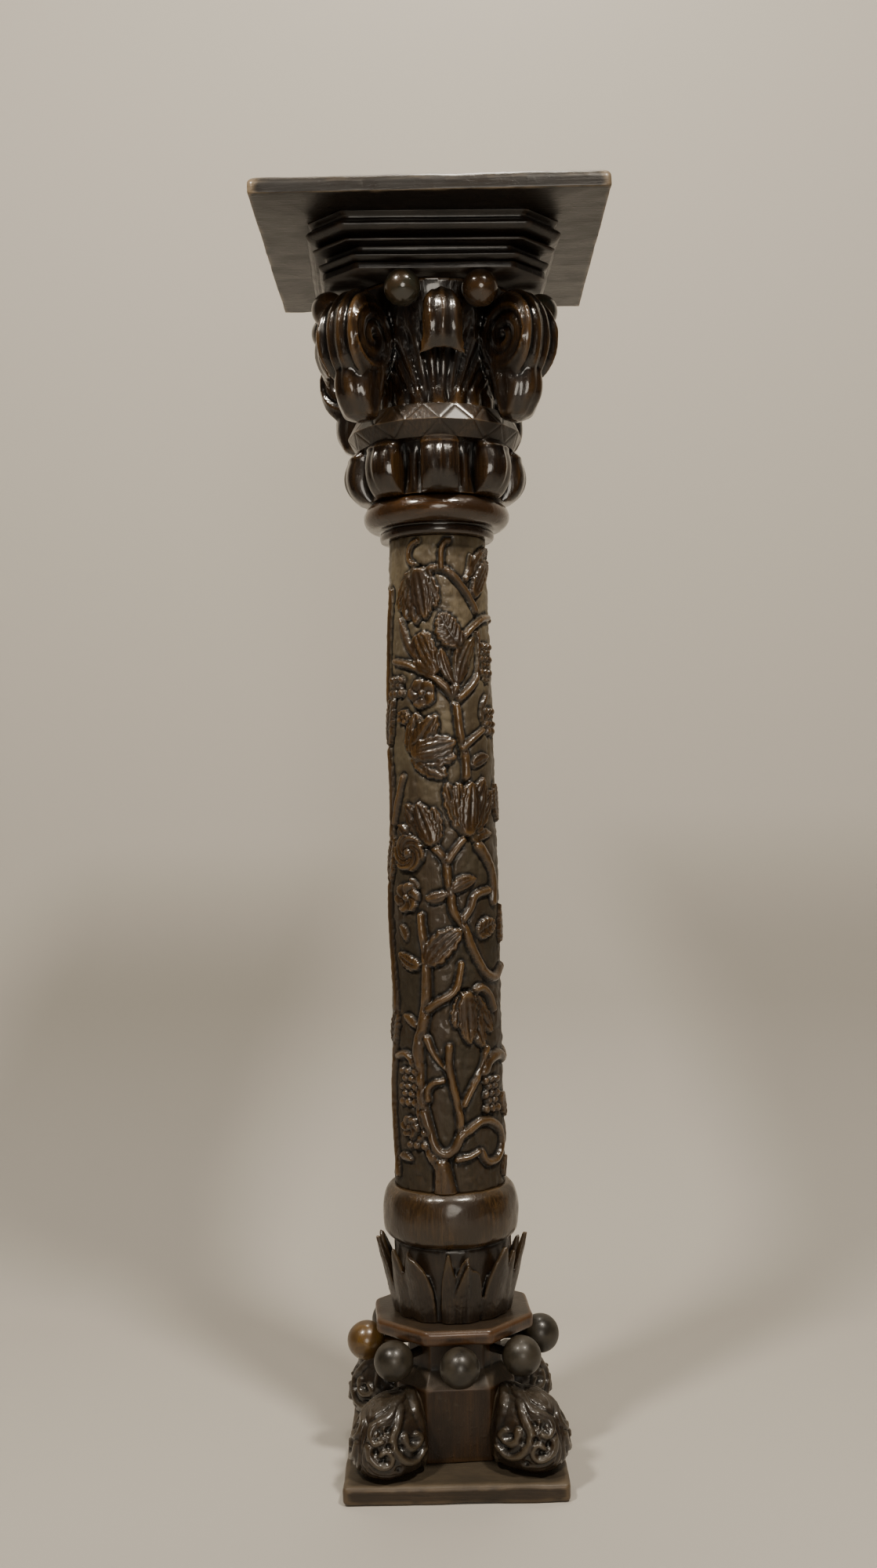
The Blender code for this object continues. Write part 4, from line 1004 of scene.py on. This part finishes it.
# The sunk ground keeps the gouge's facets, and the whole has the ripple of hand work
depth = np.clip(relief / LEAF_RELIEF, 0, 1)
facets = np.abs(smooth_lumps(arc, rise, 0.01, 11)) * 1.4 + 0.5 * smooth_lumps(arc, rise, 0.005, 14)
relief += np.where(relief < 0.0008, 0.0008 * facets, 0)
relief += 0.00025 * smooth_lumps(arc, rise, 0.0035, 12) + 0.0005 * smooth_lumps(arc, rise, 0.03, 13)
share = rise / shaft_height
radius = SHAFT_FOOT_RADIUS + (SHAFT_TOP_RADIUS - SHAFT_FOOT_RADIUS) * share ** SHAFT_TAPER_POWER + relief
turn = arc / SHAFT_FOOT_RADIUS
rolled = np.stack((radius * np.sin(turn), -radius * np.cos(turn), shaft_low.z + rise), axis=1)
shaft.data.vertices.foreach_set("co", rolled.ravel())
shaft.data.update()
depth_mark = shaft.data.attributes.new("raised", "FLOAT", "POINT")
depth_mark.data.foreach_set("value", depth.astype(np.float32))
clean_up(shaft, 0.00001)
bpy.ops.object.mode_set(mode="EDIT")
bpy.ops.mesh.select_all(action="DESELECT")
bpy.ops.mesh.select_mode(type="EDGE")
bpy.ops.mesh.select_non_manifold()
bpy.ops.mesh.edge_face_add()
bpy.ops.mesh.select_all(action="SELECT")
bpy.ops.mesh.normals_make_consistent(inside=False)
bpy.ops.object.mode_set(mode="OBJECT")
mark_relief(shaft, 12, 0.0019)
shaft_oak = stained_oak("shaft_oak", (0.022, 0.011, 0.0036), (0.056, 0.029, 0.009), (0.13, 0.074, 0.027),
                        (0.05, 0.04, 0.024), 0.25, 0.24, 0.55, 0.55, grounds=((0.022, 0.0155, 0.007), (0.125, 0.1, 0.06)))
settle_piece(shaft, "shaft", shaft_oak)


# Neck ring: a plain turned ring at the head of the shaft, smooth and glossy, its stain
# worn through to a warm orange-brown.
RING_RADIUS = 0.0718
ring_low, ring_high = room_of("neck_ring")
profile = [(SHAFT_TOP_RADIUS, ring_low.z)]
# A small roll, a deep quirk and the big torus, each with its radius, swell, foot and height
for inner, swell, foot, height in ((0.0535, 0.003, 0, 0.009), (0.0585, RING_RADIUS - 0.0585, 0.0105, 0.0255)):
    for step in range(21):
        turn = math.pi * step / 20
        profile.append((inner + swell * math.sin(turn), ring_low.z + foot + height * (0.5 - 0.5 * math.cos(turn))))
    profile.append((0.052, profile[-1][1] + 0.0004))
profile[-1] = (SHAFT_TOP_RADIUS, ring_high.z)
ring = turned_body("neck_ring_turned", profile, 144)
rough_out(ring, 0.0006, 0.025, 4.4)
keep_inside(ring, ring_low, ring_high)
mark_relief(ring, 6, 0.0012)
ring_oak = stained_oak("neck_ring_oak", (0.014, 0.0065, 0.0022), (0.04, 0.018, 0.0058), (0.08, 0.036, 0.011),
                       (0.04, 0.03, 0.02), 0.1, 0.16, 0.8, 0.6, (0, math.pi / 2, 0))
settle_piece(ring, "neck_ring", ring_oak)


# Capital: carved from one oak block, stained almost black and thickly varnished. From below:
# a gadrooned cup, a diamond-cut band, and a bell with four ribbed volutes on its corners
# and a drooping leaf tip on each face.
CAPITAL_TURN = math.radians(3.5)
FACE_CARVING_TURN = math.radians(5)
CUP_HEIGHT = 0.0506
CUP_FOOT_RADIUS = 0.069
CUP_RADIUS = 0.0872
CUP_GAP_RADIUS = 0.067
CUP_LOBES = 8
BAND_HEIGHT = 0.032
BAND_RADIUS = 0.086
BAND_EDGE_RADIUS = 0.0775
BAND_SIDES = 16
BELL_WAIST_RADIUS = 0.068
BELL_LIP_RADIUS = 0.084
VOLUTE_REACH = 0.1044
VOLUTE_EYE_DROP = 0.0568
VOLUTE_RADIUS = 0.0295
VOLUTE_WIDTH = 0.0434
VOLUTE_FLARE = math.radians(11)
TONGUE_WIDTH = 0.045
TONGUE_REACH = 0.115
TONGUE_THICKNESS = 0.014
CAPITAL_VOXEL = 0.0017
capital_low, capital_high = room_of("capital")
band_foot = capital_low.z + CUP_HEIGHT
bell_foot = band_foot + BAND_HEIGHT
bell_height = capital_high.z - bell_foot


def gadroon_cup():
    """Eight swelling lobes, each with a rim and a middle rib, and a narrow leaf sunk between."""
    rings = []
    around = 560
    for row in range(41):
        share = row / 40
        swell = (math.sin(math.pi * min(share / 0.98, 1) ** 0.85) ** 0.6) if 0 < share < 0.98 else 0
        base = CUP_FOOT_RADIUS + 0.008 * share
        ring = []
        for i in range(around):
            angle = math.tau * i / around
            phase = (angle * CUP_LOBES / math.tau) % 1
            off = min(phase, 1 - phase) * 2
            lobe = max(0, 1 - (off / 0.68) ** 3.6) ** 0.5 if off < 0.68 else 0
            rise = math.sin(math.pi * share)
            rim = 0.0012 * math.exp(-((off - 0.55) / 0.05) ** 2) * rise
            rib = 0.0018 * math.exp(-(off / 0.07) ** 2) * rise
            lip = 0.0016 * math.exp(-((share - 0.86) / 0.05) ** 2)
            leaf = 0.0035 * max(0, 1 - ((1 - off) / 0.2) ** 2) * math.sin(math.pi * min(share * 1.1, 1))
            floor = CUP_GAP_RADIUS - 0.004 * rise
            top = base + (CUP_RADIUS - 0.0016 - CUP_FOOT_RADIUS) * swell * (1 - 0.15 * share)
            radius = floor + (top - floor) * lobe + (rib + rim + lip) * (lobe > 0.2) + leaf
            ring.append(polar(angle + CAPITAL_TURN, radius, capital_low.z + share * (CUP_HEIGHT + 0.002)))
        rings.append(ring)
    return ring_body("gadroon_cup", rings)


def diamond_band():
    """Sixteen sides whose corners alternate at the ridge and the edges, so its faces are triangles."""
    rings = []
    for radius, share, shift in ((BAND_EDGE_RADIUS - 0.006, -0.06, 0.5), (BAND_EDGE_RADIUS, 0, 0.5),
                                 (BAND_RADIUS, 0.46, 0), (BAND_EDGE_RADIUS, 0.96, 0.5),
                                 (BAND_EDGE_RADIUS - 0.006, 1.04, 0.5)):
        rings.append([polar(math.tau * (corner + shift) / BAND_SIDES + CAPITAL_TURN, radius,
                            band_foot + share * BAND_HEIGHT) for corner in range(BAND_SIDES)])
    points = [point for ring in rings for point in ring]
    faces = [tuple(range(BAND_SIDES)), tuple(4 * BAND_SIDES + i for i in range(BAND_SIDES))]
    for i in range(BAND_SIDES):
        after = (i + 1) % BAND_SIDES
        low_rim, low_edge, ridge, high_edge, high_rim = ([row * BAND_SIDES + i, row * BAND_SIDES + after]
                                                         for row in range(5))
        faces += [(*low_rim, *low_edge[::-1]), (*high_edge, *high_rim[::-1])]
        faces += [(low_edge[0], ridge[1], ridge[0]), (low_edge[0], low_edge[1], ridge[1])]
        faces += [(high_edge[0], ridge[0], ridge[1]), (high_edge[1], high_edge[0], ridge[1])]
    mesh = bpy.data.meshes.new("diamond_band")
    mesh.from_pydata(points, [], faces)
    band = bpy.data.objects.new("diamond_band", mesh)
    bpy.context.scene.collection.objects.link(band)
    clean_up(band, 0.00001)
    bpy.ops.object.mode_set(mode="EDIT")
    bpy.ops.mesh.select_all(action="SELECT")
    bpy.ops.mesh.subdivide(number_cuts=15)
    bpy.ops.object.mode_set(mode="OBJECT")
    # A fine line is cut along each slanting edge between two facets
    places = read_places(band)
    lowest = np.full(len(places), 1.0)
    for row in (1, 3):
        for i in range(BAND_SIDES):
            for corner in (i, (i + 1) % BAND_SIDES):
                start, end = np.array(points[row * BAND_SIDES + i]), np.array(points[2 * BAND_SIDES + corner])
                share = np.clip((places - start) @ (end - start) / ((end - start) @ (end - start)), 0, 1)
                lowest = np.minimum(lowest, np.linalg.norm(places - start - share[:, None] * (end - start), axis=1))
    push_out(band, -0.0008 * np.clip(1.4 - lowest / 0.0014, 0, 1))
    return band


def bell_body():
    """The bell, reeded above, with a row of short hollowed leaves standing round its foot."""
    rings = []
    around = 384
    for row in range(61):
        share = row / 60
        flare = BELL_WAIST_RADIUS + (BELL_LIP_RADIUS - BELL_WAIST_RADIUS) * share ** 2.2
        ring = []
        for i in range(around):
            angle = math.tau * i / around
            phase = (angle * 24 / math.tau) % 1
            off = min(phase, 1 - phase) * 2
            leaf = 0.005 * (1 - off ** 2 * 0.9) * max(0, 1 - (share / 0.16) ** 2)
            spread = (angle + math.pi / 4) % (math.pi / 2) - math.pi / 4
            reed = 0.0026 * abs(math.sin(14 * spread / (0.35 + share)))
            reed *= min(max(min(share - 0.04, 0.66 - share) * 9, 0), 1)
            ring.append(polar(angle + CAPITAL_TURN, flare + leaf + reed,
                              bell_foot - 0.002 + share * (bell_height + 0.002)))
        rings.append(ring)
    return ring_body("bell", rings)


def volute_roll(angle):
    """A roll of four fat ribs across the corner, with a stepped spiral cut deep in each side."""
    outward = polar(angle, 1, 0)
    along = polar(angle + math.pi / 2, 1, 0)
    eye_height = capital_high.z - VOLUTE_EYE_DROP
    around = 120
    side_rings = 36
    rib_rings = 64
    rings = [(-1, k / side_rings) for k in range(1, side_rings + 1)]
    rings += [(-1 + 2 * k / rib_rings, 1) for k in range(1, rib_rings)]
    rings += [(1, 1 - k / side_rings) for k in range(side_rings)]
    out_rings = []
    for across, shrink in rings:
        ring = []
        reach_share = np.interp(abs(across), [0, 0.4, 0.72, 1], [1.2, 1.1, 1.14, 1])
        rise_share = np.interp(abs(across), [0, 0.4, 0.72, 1], [1.62, 1.5, 1.38, 1])
        rib = 0.0042 * abs(math.sin(math.pi * across * 2)) - 0.003 if abs(across) < 1 else 0
        for i in range(around):
            turn = math.tau * i / around
            reach = VOLUTE_REACH + (VOLUTE_RADIUS * reach_share + rib) * math.cos(turn) * shrink
            height = eye_height + (VOLUTE_RADIUS * rise_share + rib) * math.sin(turn) * shrink
            half_width = VOLUTE_WIDTH / 2 + (reach - VOLUTE_REACH) * math.tan(VOLUTE_FLARE)
            side = across * half_width
            if abs(across) == 1:
                # A ridge winds in from the rim to the eye, with a deep groove beside it
                wind = (shrink * 2.2 - turn * across / math.tau + 0.1) % 1
                crown = math.sqrt(max(1 - (2 * wind - 1) ** 2, 0)) ** 0.6
                hole = 1 if shrink < 0.1 else 0
                rim = min(max((shrink - 0.9) / 0.05, 0), 1)
                level = max(crown * (0.84 + 0.16 * shrink) - hole, rim)
                side = across * (half_width - 0.008 * (1 - level))
            ring.append(outward * reach + along * side + Vector((0, 0, height)))
        out_rings.append(ring)
    return ring_body("volute_roll", out_rings)


def volute_tail(angle):
    """The fat reeded leaf that curls out under a volute and ends in a lobe beside the band."""
    outward = polar(angle, 1, 0)
    along = polar(angle + math.pi / 2, 1, 0)
    low = bell_foot - 0.56 * BAND_HEIGHT
    high = capital_high.z - VOLUTE_EYE_DROP
    rings = []
    around = 96
    # Height, reach, half depth and half width, as shares of the volute's own
    for level in smooth_route([(0, 1, 0.1, 0.1), (0.03, 1, 0.3, 0.26), (0.1, 1.02, 0.5, 0.4), (0.4, 1.03, 0.82, 0.45),
                               (1, 0.93, 1, 0.37)], 0.03):
        ring = []
        for i in range(around):
            turn = math.tau * i / around
            reed = 1 + 0.09 * abs(math.sin(turn * 4))
            place = outward * (VOLUTE_REACH * level.y + VOLUTE_RADIUS * level.z * math.cos(turn) * reed - 0.003)
            place += along * VOLUTE_WIDTH * level.w * math.sin(turn) * reed
            ring.append(place + Vector((0, 0, low + level.x * (high - low))))
        rings.append(ring)
    return ring_body("volute_tail", rings)


def drooping_tongue(angle):
    """A leaf tip that rises from the bell, bends over and hangs, with a crease and two lobes."""
    outward = polar(angle, 1, 0)
    along = polar(angle + math.pi / 2, 1, 0)
    # Reach and height as shares of the room there is, half width and half thickness as shares
    route = smooth_route([(0, 0.6, 0.7, 1), (0.4, 0.78, 0.6, 0.86), (0.7, 0.83, 0.58, 0.71), (0.9, 0.75, 0.8, 0.8),
                          (0.98, 0.6, 0.84, 0.9), (0.94, 0.46, 0.88, 0.7), (0.84, 0.36, 1, 0.4)], 0.03)
    hang = TONGUE_REACH - TONGUE_THICKNESS * 0.35 - BELL_WAIST_RADIUS
    rings = []
    for i, point in enumerate(route):
        ahead = route[min(i + 1, len(route) - 1)] - route[max(i - 1, 0)]
        lift = (outward * -ahead.y * bell_height + Vector((0, 0, ahead.x * hang))).normalized()
        centre = outward * (BELL_WAIST_RADIUS + point.x * hang) + Vector((0, 0, bell_foot + point.y * bell_height))
        half = TONGUE_WIDTH / 2 * min(point.z, 1)
        thick = TONGUE_THICKNESS / 2 * point.w
        ring = []
        arch = Vector((0, 0, -0.009 * max(i / (len(route) - 1) - 0.6, 0) / 0.4))
        for t, rise in ((-1, -0.7), (-0.85, 0.1), (-0.62, 0.7), (-0.4, 0.62), (-0.2, 0.95), (0, 1.2), (0.2, 0.95),
                        (0.4, 0.62), (0.62, 0.7), (0.85, 0.1), (1, -0.7), (0.6, -0.9), (0, -0.5), (-0.6, -0.9)):
            ring.append(centre + along * half * t + lift * thick * rise + arch * (t * t - 0.3))
        rings.append(ring)
    return ring_body("drooping_tongue", rings)


capital_oak = stained_oak("capital_oak", (0.007, 0.0033, 0.0012), (0.025, 0.0122, 0.0038), (0.09, 0.047, 0.015),
                          (0.03, 0.025, 0.017), 0.12, 0.17, 0.8, 0.7)
cup = gadroon_cup()
band = diamond_band()
clear_selection()
band.select_set(True)
cup.select_set(True)
bpy.context.view_layer.objects.active = cup
bpy.ops.object.join()
cup = start_piece("capital_cup_and_band")
mark_relief(cup, 5, 0.001)
settle_piece(cup, "capital", capital_oak, crease=24)
band_oak = stained_oak("band_oak", (0.012, 0.0065, 0.003), (0.036, 0.02, 0.0085), (0.13, 0.085, 0.045),
                       (0.05, 0.042, 0.03), 0.3, 0.3, 0.5, 0.8)
cup.data.materials.append(band_oak)
for face in cup.data.polygons:
    face.material_index = int(face.center.z > band_foot)

parts = [bell_body()]
for corner in range(4):
    face_angle = corner * math.pi / 2
    parts.append(volute_roll(face_angle + math.pi / 4 + CAPITAL_TURN))
    parts.append(volute_tail(face_angle + math.pi / 4 + CAPITAL_TURN))
    parts.append(drooping_tongue(face_angle + FACE_CARVING_TURN))
capital = fuse("capital_bell_and_volutes", parts, CAPITAL_VOXEL, 1)
rough_out(capital, 0.0006, 0.014, 6.1)
keep_inside(capital, capital_low, capital_high)
mark_relief(capital, 12, 0.0013)
settle_piece(capital, "capital", capital_oak)


# Capital balls: eight turned balls in pairs under the abacus, each on a peg, with a glossy
# bronze-like coat that is greener on some and more coppery on others.
CAPITAL_BALL_RADIUS = 0.017
CAPITAL_BALL_SPACING = 0.072
CAPITAL_BALL_DEPTH = 0.102
ball_reach = math.hypot(CAPITAL_BALL_SPACING / 2, CAPITAL_BALL_DEPTH)
ball_model = turn_ball("capital_ball_model", CAPITAL_BALL_RADIUS, ball_reach - CAPITAL_BALL_RADIUS - BELL_LIP_RADIUS)
green_ball = ball_paint("green_bronze_paint", (0.022, 0.021, 0.014), (0.036, 0.022, 0.01), 0.14, 0.6)
copper_ball = ball_paint("copper_bronze_paint", (0.05, 0.025, 0.009), (0.028, 0.015, 0.006), 0.14, 0.6)
for number in range(8):
    face, side = divmod(number, 2)
    offset = math.atan2((side * 2 - 1) * CAPITAL_BALL_SPACING / 2, CAPITAL_BALL_DEPTH)
    angle = face * math.pi / 2 + offset + FACE_CARVING_TURN
    ball = bpy.data.objects.new(f"capital_ball_turned_{number + 1}", ball_model.data.copy())
    bpy.context.scene.collection.objects.link(ball)
    rough_out(ball, 0.0002, 0.014, number * 1.9)
    centre = polar(angle, ball_reach, capital_high.z - CAPITAL_BALL_RADIUS)
    ball.data.transform(Matrix.Translation(centre) @ Matrix.Rotation(angle - math.pi / 2, 4, "Z"))
    settle_piece(ball, f"capital_ball_{number + 1}", copper_ball if side else green_ball)
bpy.data.objects.remove(ball_model)


# Abacus: oak mouldings planed and mitred round a square with its corners cut off, two rolls
# with fillets and dark quirks between them. The stain is nearly black.
ABACUS_WIDTH = 0.237
ABACUS_CUT = 0.031
ABACUS_TURN = math.radians(2)
abacus_low, abacus_high = room_of("abacus_moulding")
abacus_height = abacus_high.z - abacus_low.z


def cut_square_ring(half_width, cut, height, turn, pieces):
    """A square with its corners cut off, with extra points along each side."""
    near = half_width - cut
    angle = math.atan2(near, half_width)
    reach = math.hypot(near, half_width)
    corners = []
    for side in range(4):
        corners.append(polar(side * math.pi / 2 - angle + turn, reach, height))
        corners.append(polar(side * math.pi / 2 + angle + turn, reach, height))
    ring = []
    for i, corner in enumerate(corners):
        count = pieces if i % 2 == 0 else max(pieces // 4, 1)
        ring += [corner.lerp(corners[(i + 1) % 8], k / count) for k in range(count)]
    return ring


# Points of the profile: shares of the whole step inwards and of the height
ABACUS_STEP = 0.018
ABACUS_PROFILE = [(0.8, 0), (0.8, 0.12), (1, 0.14), (0.75, 0.17), (0.58, 0.24), (0.75, 0.31), (1, 0.35), (0.97, 0.44),
                  (0.36, 0.47), (0.36, 0.53), (0.7, 0.55), (0.58, 0.6), (0.17, 0.66), (0, 0.75), (0.17, 0.84),
                  (0.31, 0.88), (0.28, 0.93), (0.11, 1)]
profile = [(ABACUS_STEP * min(max(point.x, 0), 1), min(max(point.y, 0), 1))
           for point in smooth_route(ABACUS_PROFILE, 0.03)]
rings = [cut_square_ring(ABACUS_WIDTH / 2 - inset, ABACUS_CUT, abacus_low.z + share * abacus_height, ABACUS_TURN, 36)
         for inset, share in profile]
abacus = ring_body("abacus_planed_moulding", rings)
rough_out(abacus, 0.0007, 0.03, 8.8)
keep_inside(abacus, abacus_low, abacus_high)
mark_relief(abacus, 3, 0.0012)
abacus_oak = stained_oak("abacus_oak", (0.004, 0.002, 0.0009), (0.011, 0.0055, 0.0023), (0.03, 0.015, 0.006),
                         (0.025, 0.02, 0.013), 0.1, 0.32, 0.35, 0.6, (0, math.pi / 2, 0))
settle_piece(abacus, "abacus_moulding", abacus_oak)


# Top board: a square oak board with a square lower edge, a thumbnail moulding above it and a
# small fillet round its flat top. The edge is rubbed grey-brown, and the underside is
# specked with dark pores.
BOARD_SQUARE_EDGE = 0.0085
BOARD_EDGE_DEPTH = 0.0185
board_low, board_high = room_of("top_board")
board_half = (board_high.x - board_low.x) / 2
board_thickness = board_high.z - board_low.z


def square_ring(half_width, height, pieces):
    corners = [Vector((x * half_width, y * half_width, height)) for x, y in ((-1, -1), (1, -1), (1, 1), (-1, 1))]
    return [corner.lerp(corners[(i + 1) % 4], k / pieces) for i, corner in enumerate(corners) for k in range(pieces)]


fillet = 0.12 * board_thickness
bulge = board_thickness - BOARD_SQUARE_EDGE - fillet
profile = [(0.10, 0), (0.05, 0), (0.02, 0), (0.006, 0), (0.0012, 0), (0.0003, 0.0003), (0, 0.001), (0, 0.003),
           (0, 0.0055), (0, BOARD_SQUARE_EDGE - 0.0005)]
profile += [(BOARD_EDGE_DEPTH * (1 - math.cos(math.pi / 2 * k / 10)),
             BOARD_SQUARE_EDGE + bulge * math.sin(math.pi / 2 * k / 10)) for k in range(1, 11)]
profile += [(BOARD_EDGE_DEPTH, board_thickness - 0.0006), (BOARD_EDGE_DEPTH + 0.0006, board_thickness),
            (0.03, board_thickness), (0.06, board_thickness), (0.11, board_thickness)]
rings = [square_ring(board_half - inset, board_low.z + height, 64) for inset, height in profile]
board = ring_body("top_board_moulded", rings)
rough_out(board, 0.0005, 0.012, 9.4)
rough_out(board, 0.0008, 0.05, 1.9)
keep_inside(board, board_low, board_high, (0, 1, 2))
mark_relief(board, 3, 0.0012)
board_oak = stained_oak("board_oak", (0.006, 0.0037, 0.002), (0.014, 0.0086, 0.0047), (0.24, 0.178, 0.112),
                        (0.1, 0.08, 0.053), 0.3, 0.34, 0.4, 0.9, (0, math.pi / 2, 0))
settle_piece(board, "top_board", board_oak)
